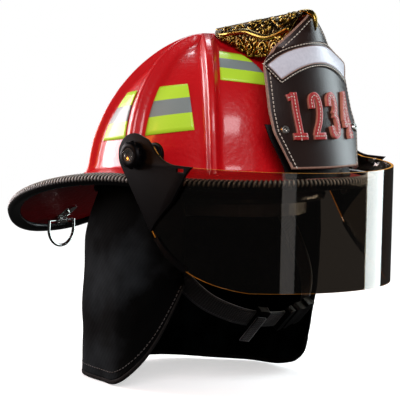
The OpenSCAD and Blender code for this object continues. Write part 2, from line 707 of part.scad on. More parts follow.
// Tension knobs on the threaded studs
module tension_knob(s) {
  color("#1b1b1c")
    pivot_axis(s) translate([0, 0, knob_x]) difference() {
      union() {
        rotate_extrude($fn = 48)
          polygon([[0, 0], [knob_radius, 0], [knob_radius, knob_depth - 2.4],
                   [knob_radius - 1.4, knob_depth - 0.6], [knob_radius - 3.4, knob_depth],
                   [0, knob_depth]]);
        for (i = [0:11])
          rotate([0, 0, 30 * i]) translate([knob_radius - 0.5, 0, 0])
            cylinder(h = knob_depth - 2.4, r = 1.5, $fn = 20);
      }
      translate([0, 0, -1]) cylinder(h = 6.2, d = stud_diameter + 0.1, $fn = 24);
      translate([0, 0, knob_depth - 1.6]) cylinder(h = 3, r = ring_seat, $fn = 32);
    }
}
ring_seat = 6.2;
module tension_knob_right() { tension_knob(1); }
module tension_knob_left() { tension_knob(-1); }
module knob_ring(s) {
  color("#b8b8b4")
    pivot_axis(s) translate([0, 0, knob_x + knob_depth - 1.6])
      difference() {
        cylinder(h = 1.8, r = ring_seat - 0.02, $fn = 32);
        translate([0, 0, 0.6]) cylinder(h = 3, r = 4.4, $fn = 32);
      }
}
module knob_ring_right() { knob_ring(1); }
module knob_ring_left() { knob_ring(-1); }

// Impact cap under the dome
cap_gap = 0.7;
cap_low = 6;
cap_columns = 36;
function cap_ring(climb, inset) =
  [for (i = [0:cap_columns - 1]) dome_point(360 * i / cap_columns, climb, inset, 0)];
function cap_foot(inset) =
  [for (i = [0:cap_columns - 1])
    let (a = 360 * i / cap_columns) spot(a, dome_radius_at(a, cap_low) - inset, cap_low)];
module impact_cap() {
  out = wall + cap_gap;
  inset = out + cap_thickness;
  rings = concat(
    [for (i = [len(inner_climbs) - 1:-1:0]) cap_ring(inner_climbs[i], out)],
    [cap_foot(out + 0.5), cap_foot(inset)],
    [for (c = [22, 40, 56, 74]) cap_ring(c, inset)]);
  points = concat([for (r = rings) each r],
    [spot(0, 0, dome_height - out), spot(0, 0, dome_height - inset)]);
  color("#3a3a3c")
    difference() {
      polyhedron(points = points, faces = skin_faces(len(rings), cap_columns));
      for (i = [0, 1])
        translate([0, eagle_screw_at[i], front_rib_top(eagle_screw_at[i]) - screw_head_drop[i] - 3])
          cylinder(h = 20, d = 10, $fn = 32);
    }
}
// Padded black rim under the base of the dome, that the ear flap hangs from
rim_low = -21;
rim_drop = 1.6;
function rim_reach(a, r) = dome_reach(a) - 2 + r;
// Lip of the rim under the root of the brim
lip_gap = 0.8;
function rim_lip(a) =
  let (
    t = 0.15,
    low = [mix(dome_reach(a), edge_reach(a), t), brim_z(a, t) - brim_thickness],
    high = [dome_reach(a) - wall, inner_foot]
  ) mix(low, high, 0.45) - [0, lip_gap];
module liner_rim() {
  rings = [for (i = [0:39])
    let (a = 9 * i, lip = rim_lip(a), r = rim_reach(a, 0))
    [for (q = [[r - 3, -rim_drop], lip, lip - [0, 2], [r + 2, -rim_drop - 4], [r + 2, rim_low + 5],
               [r + 4.5, rim_low + 2], [r + 3.5, rim_low - 2], [r, rim_low - 3],
               [r - 2.5, rim_low], [r - 3, rim_low + 6]])
      spot(a, q[0], q[1])]];
  color("#101011")
    polyhedron(points = [for (r = rings) each r], faces = hoop_faces(40, len(rings[0])));
}

// Headband, an oval strip that dips at the nape, where it closes in the ratchet
band_top = -6;
band_wall = 1.8;
band_y = -12;
nape_dip = 22;
tail_slot = 5;
function band_dip(a) =
  let (t = (abs(a) - 100) / 55)
  nape_dip * (t < 0 ? 0 : t > 1 ? 1 : t * t * (3 - 2 * t));
function band_reach(a, grow) =
  reach(a, band_width / 2 + grow, band_length / 2 + grow, band_length / 2 + grow, 2);
function band_spot(a, grow, z) =
  [-sin(a) * band_reach(a, grow), band_y - cos(a) * band_reach(a, grow), z];
// Piece of the band's oval between two directions
module oval_pad(from, to, inner, outer, low, high) {
  n = 24;
  loft([for (i = [n:-1:0])
    let (a = mix(from, to, i / n), d = band_dip(a))
    [band_spot(a, outer, low - d), band_spot(a, outer, high - d),
     band_spot(a, inner, high - d), band_spot(a, inner, low - d)]]);
}
module headband() {
  n = 56;
  color("#2b2b2d")
    difference() {
      loft([for (i = [n:-1:0])
        let (a = mix(-176, 176, i / n), d = band_dip(a), taper = 5 * d / nape_dip)
        [band_spot(a, band_wall, band_top - band_height - d + taper),
         band_spot(a, band_wall, band_top - d - taper),
         band_spot(a, 0, band_top - d - taper),
         band_spot(a, 0, band_top - band_height - d + taper)]]);
      for (s = [-1, 1], i = [0:4]) {
        a = s * (158 - 6 * i);
        translate(band_spot(a, band_wall / 2, band_top - band_height / 2 - band_dip(a)))
          rotate([0, 0, -a]) cube([tail_slot, 8, 8], center = true);
      }
    }
}
module brow_pad() {
  color("#4a3a2e")
    oval_pad(-62, 62, -3.4, -0.3, band_top - band_height + 2, band_top - 2);
}
module nape_pad() {
  color("#3a3a3d")
    oval_pad(157, 203, -5.5, -0.6, band_top - band_height - 1, band_top - 4);
}

// Straps that cross over the head, one over the other, in the keys that carry the band
strap_thickness = 1.5;
strap_low = -5;
strap_rise = 58;
strap_out = 0.7;        // straps stand this far outside the band
strap_turns = [90, 30, 150];
module crown_straps() {
  color("#242426")
    for (i = [0:2]) {
      r = band_reach(strap_turns[i], band_wall) + strap_out;
      rise = strap_rise + i * (strap_thickness + 0.1);
      translate([0, band_y, strap_low]) rotate([0, 0, 90 - strap_turns[i]])
        rotate([90, 0, 0]) linear_extrude(height = webbing, center = true)
          polygon(concat(
            [for (k = [0:30]) [r * cos(6 * k), rise * sin(6 * k)]],
            [for (k = [30:-1:0])
              [(r - strap_thickness) * cos(6 * k), (rise - strap_thickness) * sin(6 * k)]]));
    }
}
module crown_pad() {
  color("#2e2e30")
    translate([0, band_y, strap_low + strap_rise - strap_thickness - 3])
      rotate_extrude($fn = 48)
        polygon([[0, -4], [22, -7], [32, -8.5], [34, -6.5], [32, -4.4], [22, -2.4], [0, 2.6]]);
}
// Keys that hook under the impact cap and hold the straps and the band
key_width = 26;
key_thickness = 2;
key_tab = 7;
module hanger_keys() {
  color("#39393b")
    for (t = strap_turns, s = [0, 180]) {
      a = t + s;
      r = band_reach(a, band_wall) + strap_out + 0.3;
      reach = dome_radius_at(a, cap_low) - wall - cap_gap - 5;
      drop = band_dip(a > 180 ? a - 360 : a);
      translate([0, band_y, 0]) rotate([0, 0, -90 - a]) {
        translate([r, -key_width / 2, band_top + 0.3])
          cube([key_thickness, key_width, cap_low - 1.1 - band_top]);
        translate([r, -key_tab, cap_low - 2.3]) cube([reach - r, 2 * key_tab, 2]);
        translate([r + 0.2, -key_tab / 2, strap_low - 14 - drop])
          cube([key_thickness - 0.2, key_tab, 14 + drop]);
      }
    }
}

// Ratchet at the back of the band
ratchet_z = band_top - band_height / 2 - nape_dip;
ratchet_y = band_y + band_length / 2 + band_wall + 0.4;
pinion_radius = 4.4;
module ratchet_axis() {
  translate([0, ratchet_y, ratchet_z]) rotate([-90, 0, 0]) children();
}
housing_depth = 7;
ratchet_height = 7;
shaft_radius = 3;
module ratchet_housing() {
  color("#1f1f21")
    ratchet_axis() difference() {
      linear_extrude(height = housing_depth)
        polygon([for (i = [0:35]) let (a = 10 * i) [30 * sign(cos(a)) * pow(abs(cos(a)), 0.7),
                                                  12 * sign(sin(a)) * pow(abs(sin(a)), 0.7)]]);
      translate([0, 0, -1]) cylinder(h = housing_depth - 1, r = pinion_radius + 2.2, $fn = 40);
      cylinder(h = 20, r = shaft_radius, $fn = 32);
    }
}
module ratchet_knob() {
  color("#2a2a2c")
    ratchet_axis() translate([0, 0, housing_depth + 0.4]) difference() {
      union() {
        cylinder(h = ratchet_height, r = ratchet_radius - 1.2, $fn = 64);
        for (i = [0:19])
          rotate([0, 0, 18 * i + 9]) translate([ratchet_radius - 1.8, 0, 0.4])
            cylinder(h = ratchet_height - 0.8, r = 1.8, $fn = 16);
      }
      translate([0, 0, ratchet_height - 2]) cylinder(h = 5, r = ratchet_radius - 5, $fn = 48);
      translate([0, 0, -1]) cylinder(h = 5, r = shaft_radius, $fn = 32);
    }
}
module ratchet_pinion() {
  color("#d0d0cc")
    ratchet_axis() translate([0, 0, 0.7]) {
      for (i = [0:7])
        rotate([0, 0, 45 * i]) linear_extrude(height = 3.6)
          polygon([[pinion_radius - 1, -1.1], [pinion_radius + 1.6, -0.6],
                   [pinion_radius + 1.6, 0.6], [pinion_radius - 1, 1.1]]);
      cylinder(h = 3.6, r = pinion_radius, $fn = 32);
      cylinder(h = housing_depth + 2.6, r = shaft_radius - 0.06, $fn = 32);
    }
}

// Ear flap: quilted cloth from cheek to cheek round the back, with soft folds
flap_top = -10;
flap_span = 122;
flap_folds = 9;
flap_rise = 0.54;
flap_shoulder = 78;
flap_seat = 5.9;         // middle of the cloth outside the rim's ring
// Lower edge, level at the back and rising to the cheeks; the angle is from the back
function flap_low(b) =
  let (t = max(0, (abs(b) - flap_shoulder) / (flap_span - flap_shoulder)))
  flap_top - flap_length * (1 + 0.03 * sin(min(90, abs(b) * 1.15)) - flap_rise * pow(t, 2.1));
// Point of the cloth at an angle from the back, a share of the way down, and out from its middle
function flap_point(b, v, out) =
  let (
    a = 180 - b,
    z = mix(flap_top, flap_low(b), v),
    swell = 7 * sin(min(90, 130 * v)) - 3 * v * v,
    fold = 2.6 * pow(v, 1.2) * sin(flap_folds * b),
    r = rim_reach(a, flap_seat + swell + fold + out)
  ) spot(a, r, z);
flap_columns = 44;
flap_order = [flap_columns:-1:0];
flap_levels = [0, 0.08, 0.2, 0.35, 0.5, 0.68, 0.85, 1];
function flap_angle(i) = mix(-flap_span, flap_span, i / flap_columns);
module ear_flap() {
  h = flap_thickness / 2;
  color("#17181a")
    sheet([for (i = flap_order) [for (v = flap_levels) flap_point(flap_angle(i), v, h)]],
          [for (i = flap_order) [for (v = flap_levels) flap_point(flap_angle(i), v, -h)]]);
}
// Bound edge of the flap
module flap_binding() {
  h = flap_thickness / 2;
  rings = [for (i = flap_order)
    let (b = flap_angle(i), p = flap_point(b, 1, 0), q = flap_point(b, 1, 1) - p)
    [for (c = [[-h - 0.2, -0.5], [h + 0.2, -0.5], [h, -3.5], [-h, -3.5]]) p + q * c[0] + [0, 0, c[1]]]];
  color("#2a2a2c") loft(rings);
}
// Press studs along the top of the flap
module flap_snaps() {
  color("#55575a")
    for (b = [-100, -60, -20, 20, 60, 100]) {
      p = flap_point(b, 0.035, flap_thickness / 2 + 0.7);
      translate(p) rotate([0, 0, b]) rotate([-90, 0, 0])
        rotate_extrude($fn = 32) polygon([[0, 0], [5, 0], [5, 0.8], [3, 1.8], [0, 2]]);
    }
}

// Chin strap, as it lies under a chin
chin_route = [[-88.6, -8, -17], [-87.4, -22, -50], [-80, -42, -84], [-64, -62, -110], [-40, -78, -124],
              [-14, -86, -130], [14, -88, -131], [42, -84, -127], [62, -76, -114], [76, -62, -92],
              [85, -36, -58], [87.9, -8, -17]];
chin_thickness = 1.8;
function cross3(a, b) = [a[1] * b[2] - a[2] * b[1], a[2] * b[0] - a[0] * b[2], a[0] * b[1] - a[1] * b[0]];
// Curve through the route's points
function spline(p, i, t) =
  let (n = len(p), a = p[max(0, i - 1)], b = p[i], c = p[min(n - 1, i + 1)], d = p[min(n - 1, i + 2)])
  0.5 * (2 * b + (c - a) * t + (2 * a - 5 * b + 4 * c - d) * t * t + (3 * b - a - 3 * c + d) * t * t * t);
function chin_at(s) =
  let (n = len(chin_route) - 1, i = min(n - 1, floor(s)), t = s - i) spline(chin_route, i, t);
// The webbing lies flat against a head whose axis is at the middle
function chin_section(s) =
  let (
    p = chin_at(s), e = 0.05, q0 = chin_at(max(0, s - e)),
    q1 = chin_at(min(len(chin_route) - 1, s + e)),
    w = (q1 - q0) / norm(q1 - q0),
    out0 = [p[0], p[1] + 20, (p[2] + 60) * 0.9],
    out1 = out0 - w * (out0 * w),
    out = out1 / norm(out1),
    side = cross3(w, out)
  ) [for (c = [[-1, -1], [1, -1], [1, 1], [-1, 1]])
      p + side * c[0] * chin_width / 2 + out * c[1] * chin_thickness / 2];
buckle_at = 6.6;
slide_at = 4.9;
module chin_strap() {
  color("#1b1b1c") {
    loft([for (i = [0:16]) chin_section(mix(0, buckle_at - 0.7, i / 16))]);
    loft([for (i = [0:14]) chin_section(mix(buckle_at + 0.96, len(chin_route) - 1, i / 14))]);
  }
}
// Loose end of the webbing below the slide
module chin_tail() {
  color("#1b1b1c")
    on_strap(slide_at) translate([-6, -5, 3.3]) cube([32, 10, chin_thickness]);
}
module on_strap(s) {
  q = chin_section(s);
  p = (q[0] + q[1] + q[2] + q[3]) / 4;
  a = (q[1] - q[0]) / norm(q[1] - q[0]);
  c = (q[3] - q[0]) / norm(q[3] - q[0]);
  b = cross3(c, a);
  multmatrix([[a[0], b[0], c[0], p[0]], [a[1], b[1], c[1], p[1]], [a[2], b[2], c[2], p[2]], [0, 0, 0, 1]])
    children();
}
module rounded_box(size, r) {
  linear_extrude(height = size[2], center = true) union() {
    square([size[0] - 2 * r, size[1]], center = true);
    square([size[0], size[1] - 2 * r], center = true);
    for (x = [-1, 1], y = [-1, 1])
      translate([x * (size[0] / 2 - r), y * (size[1] / 2 - r)]) circle(r = r, $fn = 24);
  }
}
// Quick-release buckle: socket and tongue
module buckle_socket() {
  color("#202022")
    on_strap(buckle_at) difference() {
      translate([0, 7, 0]) rounded_box([chin_width + 9, 30, 8], 4);
      translate([0, 1, 0]) cube([chin_width + 1, 24, 4], center = true);
      for (s = [-1, 1]) translate([s * (chin_width / 2 + 4), 4, 0]) cube([4, 11, 12], center = true);
    }
}
module buckle_tongue() {
  color("#2a2a2c")
    on_strap(buckle_at) union() {
      translate([0, -14.5, 0]) rounded_box([chin_width + 8, 9, 6.4], 3);
      for (s = [-1, 0, 1]) translate([s * 7, -2.5, 0]) cube([3.4, 17, 3], center = true);
    }
}
module strap_slide() {
  color("#2a2a2c")
    on_strap(slide_at) difference() {
      rounded_box([chin_width + 7, 14, 6], 2.5);
      cube([chin_width + 1.4, 20, chin_thickness + 1.4], center = true);
    }
}
// Riveted plates that hold the strap's ends inside the liner's rim
module strap_anchors() {
  color("#8a8b8d")
    for (s = [-1, 1])
      translate([s * 90.9, -8, -14]) rotate([0, s * 90, 0]) {
        rounded_box([20, 16, 1.2], 4);
        translate([-s * 5, 0, -1.6]) cylinder(h = 2, r = 3.2, $fn = 28);
      }
}

// Hanging ring under the tail of the brim
ring_y = 187;
ring_drop = 25;
clip_metal = 1.4;
clip_length = 27;
clip_width = 14;
ring_bore = ring_wire + 0.1;
function tail_share(y) =
  (centre_y + dome_rear - y) / (dome_rear - brim_rear + bead_lip);
function tail_under(y) = brim_z(180, tail_share(y)) - brim_thickness;
ring_tilt = atan2(tail_under(ring_y - clip_length) - tail_under(ring_y), clip_length);
ring_z = tail_under(ring_y) - (ring_bore / 2 + clip_metal + 0.4) / cos(ring_tilt);
// Places children at the ring's bar, with -Y running up along the brim
module at_ring() {
  translate([0, ring_y, ring_z]) rotate([-ring_tilt, 0, 0]) children();
}
module ring_rivet_places() {
  for (k = [10, 21])
    at_ring() translate([0, -k, ring_bore / 2 + clip_metal]) children();
}
module hanging_ring() {
  r = ring_width / 2 + ring_wire / 2;
  straight = ring_drop - r;
  color("#c4c4c2")
    translate([0, ring_y, ring_z]) rotate([90, 0, 0]) {
      translate([-r, 0, 0]) rotate([0, 90, 0]) cylinder(h = 2 * r, d = ring_wire, $fn = 24);
      for (s = [-1, 1]) {
        translate([s * r, 0, 0]) sphere(d = ring_wire, $fn = 24);
        translate([s * r, 0, 0]) rotate([90, 0, 0]) cylinder(h = straight, d = ring_wire, $fn = 24);
      }
      translate([0, -straight, 0]) rotate([0, 0, 180])
        rotate_extrude(angle = 180, $fn = 64) translate([r, 0]) circle(d = ring_wire, $fn = 24);
    }
}
module ring_clip() {
  color("#b0b0ae")
    at_ring() difference() {
      union() {
        rotate([0, 90, 0])
          cylinder(h = clip_width, d = ring_bore + 2 * clip_metal, center = true, $fn = 32);
        translate([-clip_width / 2, -clip_length, ring_bore / 2])
          cube([clip_width, clip_length, clip_metal]);
      }
      rotate([0, 90, 0]) cylinder(h = 20, d = ring_bore, center = true, $fn = 32);
      for (k = [10, 21])
        translate([0, -k, 0]) cylinder(h = 20, d = rivet_shank + 0.1, $fn = 24);
    }
}
module ring_rivets() {
  color("#d0d0cd")
    ring_rivet_places() {
      translate([0, 0, -clip_metal - 0.2])
        cylinder(h = brim_thickness + clip_metal + 2, d = rivet_shank, $fn = 24);
      translate([0, 0, -clip_metal - 1.6]) cylinder(h = 1.5, d = 7, $fn = 28);
      translate([0, 0, brim_thickness + 0.9]) cylinder(h = 1.4, d = 7, $fn = 28);
    }
}

outer_shell();
edge_beading();
reflective_trim();
eagle();
eagle_screws();
leather_front();
front_banner();
front_bracket();
front_screws();
pivot_bracket_right();
pivot_bracket_left();
pivot_studs();
bracket_rivets();
friction_washers();
visor_lens();
visor_plate_right();
visor_plate_left();
visor_rivets();
lens_clips();
tension_knob_right();
tension_knob_left();
knob_ring_right();
knob_ring_left();
impact_cap();
liner_rim();
crown_straps();
crown_pad();
hanger_keys();
headband();
brow_pad();
nape_pad();
ratchet_housing();
ratchet_knob();
ratchet_pinion();
ear_flap();
flap_binding();
flap_snaps();
chin_strap();
chin_tail();
buckle_socket();
buckle_tongue();
strap_slide();
strap_anchors();
ring_clip();
ring_rivets();
hanging_ring();
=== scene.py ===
from functools import lru_cache
from math import asin, atan, atan2, copysign, cos, degrees, hypot, pi, radians, sin, tan

import bmesh
import bpy
from mathutils import Matrix, Vector, noise


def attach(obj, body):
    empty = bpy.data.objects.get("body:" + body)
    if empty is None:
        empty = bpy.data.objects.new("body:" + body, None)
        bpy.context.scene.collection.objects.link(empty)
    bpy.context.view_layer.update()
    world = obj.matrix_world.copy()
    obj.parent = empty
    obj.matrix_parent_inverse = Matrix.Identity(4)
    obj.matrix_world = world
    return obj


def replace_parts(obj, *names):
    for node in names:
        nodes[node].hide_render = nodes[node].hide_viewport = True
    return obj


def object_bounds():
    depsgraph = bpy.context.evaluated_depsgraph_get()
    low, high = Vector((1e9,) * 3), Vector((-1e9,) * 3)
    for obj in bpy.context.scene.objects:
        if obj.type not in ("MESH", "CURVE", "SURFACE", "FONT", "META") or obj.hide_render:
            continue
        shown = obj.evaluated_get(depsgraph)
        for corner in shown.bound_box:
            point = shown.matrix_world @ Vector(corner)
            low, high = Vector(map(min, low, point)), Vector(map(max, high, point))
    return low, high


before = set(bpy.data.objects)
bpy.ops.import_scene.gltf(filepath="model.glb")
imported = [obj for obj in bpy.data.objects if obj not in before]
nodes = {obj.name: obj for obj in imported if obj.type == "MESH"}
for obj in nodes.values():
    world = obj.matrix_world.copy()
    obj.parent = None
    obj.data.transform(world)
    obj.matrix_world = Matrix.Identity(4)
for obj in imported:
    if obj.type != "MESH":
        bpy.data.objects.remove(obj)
cad_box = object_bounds()

# Camera: a long lens a little over two metres away, on the wearer's right of the front and just
# above the brim, rolled a degree as a hand-levelled tripod is.
eye_turn, eye_rise, eye_roll, eye_away = radians(-47.26), radians(4.21), radians(1.3), 2.22195
eye_back = Vector((sin(eye_turn) * cos(eye_rise), -cos(eye_turn) * cos(eye_rise), sin(eye_rise)))
eye_level = Vector((cos(eye_turn), sin(eye_turn), 0))
eye_upright = eye_back.cross(eye_level)
eye_across = cos(eye_roll) * eye_level + sin(eye_roll) * eye_upright
eye_up = cos(eye_roll) * eye_upright - sin(eye_roll) * eye_level
eye_axes = Matrix((eye_across, eye_up, eye_back)).transposed().to_4x4()
camera = bpy.data.objects.new("camera", bpy.data.cameras.new("camera"))
bpy.context.scene.collection.objects.link(camera)
camera.matrix_world = Matrix.Translation(eye_back * eye_away) @ eye_axes
camera.data.lens, camera.data.shift_x, camera.data.shift_y = 216.6, -0.0075, -0.0806
bpy.context.scene.camera = camera
bpy.context.scene.view_settings.view_transform = "Standard"


# Studio: a sweep of white paper in a dim room, lit by a tall window on the wearer's left, a broad
# one behind, a soft box over the camera, a strip in front, a high lamp and a small warm one.
def linear(code):
    """The linear colour of an sRGB hex code."""
    parts = [int(code[i : i + 2], 16) / 255 for i in (1, 3, 5)]
    return [c / 12.92 if c <= 0.04045 else ((c + 0.055) / 1.055) ** 2.4 for c in parts] + [1]


def add(tree, kind, sockets=None, *into, **settings):
    """One shader node with its settings. Its sockets take a value, a hex colour, an output or
    another node, which stands for its first output; its own first output goes into the rest."""
    made = tree.nodes.new("ShaderNode" + kind)
    for name, value in settings.items():
        setattr(made, name, value)
    joins = [(made, socket) for socket in into]
    for name, value in (sockets or {}).items():
        if isinstance(value, (bpy.types.Node, bpy.types.NodeSocket)):
            joins.append((value, made.inputs[name]))
        else:
            made.inputs[name].default_value = linear(value) if isinstance(value, str) else value
    for source, socket in joins:
        if isinstance(source, bpy.types.Node):
            source = next(output for output in source.outputs if output.enabled)
        tree.links.new(source, socket)
    return made


# The room fills the shadows evenly, is nearly dark in gloss and glass, and white to the camera
room = bpy.data.worlds.new("dim_room")
room.use_nodes = True
tree = room.node_tree
tree.nodes.clear()
ray = add(tree, "LightPath").outputs
fill = add(tree, "Background", {"Color": "#ffffff", "Strength": 0.3})
mirrored = add(tree, "Background", {"Color": "#f4f2f0", "Strength": 0.03})
white = add(tree, "Background", {"Color": "#ffffff", "Strength": 1})
either = {0: ray["Is Glossy Ray"], 1: ray["Is Transmission Ray"]}
shiny = add(tree, "Math", either, operation="MAXIMUM")
around = add(tree, "MixShader", {0: shiny, 1: fill, 2: mirrored})
seen = add(tree, "MixShader", {0: ray["Is Camera Ray"], 1: around, 2: white})
add(tree, "OutputWorld", {"Surface": seen})
bpy.context.scene.world = room

floor_shape = bmesh.new()
bmesh.ops.create_grid(floor_shape, x_segments=1, y_segments=1, size=14)
bmesh.ops.translate(floor_shape, vec=(0, 0, cad_box[0][2] - 0.0005), verts=floor_shape.verts)
floor = bpy.data.objects.new("paper_sweep", bpy.data.meshes.new("paper_sweep"))
floor_shape.to_mesh(floor.data)
floor_shape.free()
bpy.context.scene.collection.objects.link(floor)
# Matt paper: to the camera it is white with the helmet's soft shadow on it, and plain white from
# a metre and a half out. It throws little light back, and doesn't show in gloss
paper = bpy.data.materials.new("paper_matt")
paper.use_nodes = True
tree = paper.node_tree
tree.nodes.clear()
ray = add(tree, "LightPath").outputs
place = add(tree, "TexCoord").outputs["Object"]
away = add(tree, "VectorMath", {0: place}, operation="LENGTH")
fade = add(tree, "MapRange", {"Value": away, "From Min": 0.3, "From Max": 1.5})
lit = {0: ray["Is Camera Ray"], 6: "#1a1a1a", 7: "#ececec"}
lit = add(tree, "Mix", lit, data_type="RGBA")
tone = add(tree, "Mix", {0: fade, 6: lit, 7: "#000000"}, data_type="RGBA")
lift = add(tree, "MapRange", {"Value": fade, "To Min": 0.55, "To Max": 1.0})
lift = add(tree, "Math", {0: ray["Is Camera Ray"], 1: lift}, operation="MULTIPLY")
matt = add(tree, "BsdfDiffuse", {"Color": tone})
glow = add(tree, "Emission", {"Color": "#ffffff", "Strength": lift})
both = add(tree, "AddShader", {0: matt, 1: glow})
gone = add(tree, "BsdfTransparent")
whole = add(tree, "MixShader", {0: ray["Is Glossy Ray"], 1: both, 2: gone})
add(tree, "OutputMaterial", {"Surface": whole})
floor.data.materials.append(paper)

# Each lamp looks at the helmet: turn and rise in degrees, distance and size in metres, watts
for name, turn, rise, away, width, height, power, tint in (
    ("window_left", 68, 14, 1.7, 0.8, 2.2, 33, "#ecfaff"),
    ("window_rear", -168, 11, 1.7, 1.3, 0.75, 37, "#fff4f6"),
    ("box_camera", -42, 25, 2.0, 1.1, 0.5, 22, "#fff4f8"),
    ("strip_front", -16, 0, 1.6, 0.3, 1.6, 0.75, "#ffffff"),
    ("lamp_high", 133, 44, 1.7, 0.8, 0.45, 8, "#f2f8ff"),
    ("lamp_warm", -122, 14, 1.5, 0.12, 0.5, 3, "#ff9a3c"),
):
    lamp = bpy.data.lights.new(name, "AREA")
    lamp.shape, lamp.size, lamp.size_y = "RECTANGLE", width, height
    lamp.energy, lamp.color = power, linear(tint)[:3]
    box = bpy.data.objects.new(name, lamp)
    bpy.context.scene.collection.objects.link(box)
    turn, rise = radians(turn), radians(rise)
    spot_at = Vector((sin(turn) * cos(rise), -cos(turn) * cos(rise), sin(rise))) * away
    facing = spot_at.to_track_quat("Z", "Y").to_matrix().to_4x4()
    box.matrix_world = Matrix.Translation(spot_at) @ facing


# Outer shell: one wall of thermoplastic, injection moulded with eight ribs that meet at the crown,
# and sprayed in a gloss fire red. Where it faces down, as under the brim, it has less coat and
# gloss, and a darker red that is painted shade.
dome_side, dome_front, dome_rear, dome_high = 97.5, 108, 103, 114
dome_middle, dome_lean, wall_thick = -8, 0.07, 3.2
brim_side, brim_front, brim_rear = 124.5, 158.5, 214.5
rib_wide, rib_out, rib_up, groove_wide = 9, 9, 10, 3.8


def reach(a, side, front, rear, n):
    """Distance from the middle to an oval's edge, in the direction a from the front."""
    far = front if cos(radians(a)) > 0 else rear
    return ((abs(sin(radians(a))) / side) ** n + (abs(cos(radians(a))) / far) ** n) ** (-1 / n)


def spot(a, r, z):
    """Point in a direction from the dome's middle, which leans back a little on its way up."""
    middle = dome_middle + dome_lean * max(0, z)
    return Vector((-sin(radians(a)) * r, middle - cos(radians(a)) * r, z))


def mix(a, b, t):
    return a + (b - a) * t


def dome_reach(a):
    return reach(a, dome_side, dome_front, dome_rear, 2.1)


def roundness(a):
    """How square the dome's section is in a direction: 2 is an ellipse, and more is squarer."""
    return 2.05 + 0.72 * cos(radians(a)) + 0.22 * cos(radians(a)) ** 2


def from_rib(a):
    return a - 45 * round(a / 45)


def rib_share(d, width=rib_wide):
    """How much of a rib's height is left at a distance from its middle."""
    return 1 / (1 + (abs(d) / (width / 2)) ** 4)


def dome_point(a, climb, inset, share):
    """Point of the dome: climb is 0 at the base and 90 at the crown."""
    p = 2 / roundness(a)
    flat, high = max(0, cos(radians(climb))) ** p, max(0, sin(radians(climb))) ** p
    out = (dome_reach(a) - inset + share * rib_out) * flat
    return spot(a, out, (dome_high - inset + share * rib_up) * high)


def share_at(a, climb, width=rib_wide):
    """How much of the rib's height a direction has at a climb."""
    r = dome_reach(45 * round(a / 45)) * max(0, cos(radians(climb))) ** 0.95
    return rib_share(r * sin(radians(from_rib(a))), width)


def bead_top(y):
    """Height of the brim's edge: level at the ears, a little up in front and down to the tail."""
    t = (y + 20) / 220
    return 2.5 * ((y + 20) / 148) ** 2 if y < -20 else -62 * (0.8 * t * t + 0.17 * t**8)


def edge_reach(a):
    return reach(a, brim_side, brim_front, brim_rear, 2.25 if cos(radians(a)) > 0 else 2.5)


def edge_point(a):
    p = spot(a, edge_reach(a), 0)
    return Vector((p.x, p.y, bead_top(p.y) - 5))


def foot_height(a):
    """Height of the fold between dome and brim: 3 mm, and 7 mm lower behind the ears."""
    behind = max(0, min(1, (180 - abs(180 - a % 360) - 95) / 40))
    return 3 - 7 * behind * behind * (3 - 2 * behind)


def brim_point(a, t, share, drop):
    """Point of the brim: t is 0 at the fold and 1 at the edge."""
    foot = foot_height(a)
    z = foot + (edge_point(a).z - foot) * t**1.15
    return spot(a, mix(dome_reach(a) + share * rib_out, edge_reach(a), t), z - drop)


def along(keys, s):
    """Point on the smooth line through keys, s counting in keys."""
    i = min(len(keys) - 2, int(s))
    t = s - i
    a, b, c, d = keys[max(0, i - 1)], keys[i], keys[i + 1], keys[min(len(keys) - 1, i + 2)]
    bend, turn = 2 * a - 5 * b + 4 * c - d, 3 * b - a - 3 * c + d
    return 0.5 * (2 * b + (c - a) * t + bend * t**2 + turn * t**3)


@lru_cache(maxsize=2000)
def shell_line(a):
    """The shell's section in one direction, from the crown out to the edge and back inside."""
    off_rib = dome_reach(a) * sin(radians(from_rib(a)))
    share, groove = rib_share(off_rib), 0.85 * rib_share(off_rib, groove_wide)
    outside = [dome_point(a, c, 0, share_at(a, c)) for c in (90, 86, 80, 72, 62, 51, 40, 29, 18, 9)]
    fillet = [brim_point(a, 0.02, share, -5), brim_point(a, 0.09, 0.8 * share, -1.2)]
    brim = [brim_point(a, t, 0, 0) for t in (0.25, 0.5, 0.75, 1)]
    under = [brim_point(a, t, 0, 3) for t in (0.99, 0.6, 0.15)]
    foot = [spot(a, dome_reach(a) - wall_thick + rib_out * groove, 4)]
    inside = [
        dome_point(a, c, wall_thick, 0.85 * share_at(a, c, groove_wide))
        for c in (12, 26, 42, 58, 74, 90)
    ]
    return outside + fillet + brim, under + foot + inside


def placed_grid(across, down, place, size=(1, 1)):
    """A grid of faces whose corners are moved onto a surface; its UVs are in metres over size."""
    shape = bmesh.new()
    sheet_uv = shape.loops.layers.uv.new("sheet")
    bmesh.ops.create_grid(shape, x_segments=across, y_segments=down, size=0.5, calc_uvs=True)
    for face in shape.faces:
        for loop in face.loops:
            x, y, _ = loop.vert.co
            loop[sheet_uv].uv = ((x + 0.5) * size[0], (y + 0.5) * size[1])
    for corner in shape.verts:
        corner.co = place(corner.co.x + 0.5, corner.co.y + 0.5)
    return shape


def joined(shapes):
    """Several shapes as one."""
    whole = bmesh.new()
    whole.loops.layers.uv.new("sheet")
    for shape in shapes:
        part = bpy.data.meshes.new("part")
        shape.to_mesh(part)
        shape.free()
        whole.from_mesh(part)
        bpy.data.meshes.remove(part)
    return whole


def make_piece(shape, name, finish, body="helmet", sharp=None, scale=0.001):
    """Makes a shape drawn in millimetres an object in metres that rides on a body."""
    bmesh.ops.scale(shape, vec=(scale, scale, scale), verts=shape.verts)
    mesh = bpy.data.meshes.new(name)
    shape.to_mesh(mesh)
    shape.free()
    mesh.shade_smooth()
    if sharp:
        mesh.set_sharp_from_angle(angle=radians(sharp))
    mesh.materials.append(finish)
    piece = bpy.data.objects.new(name, mesh)
    bpy.context.scene.collection.objects.link(piece)
    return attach(piece, body)


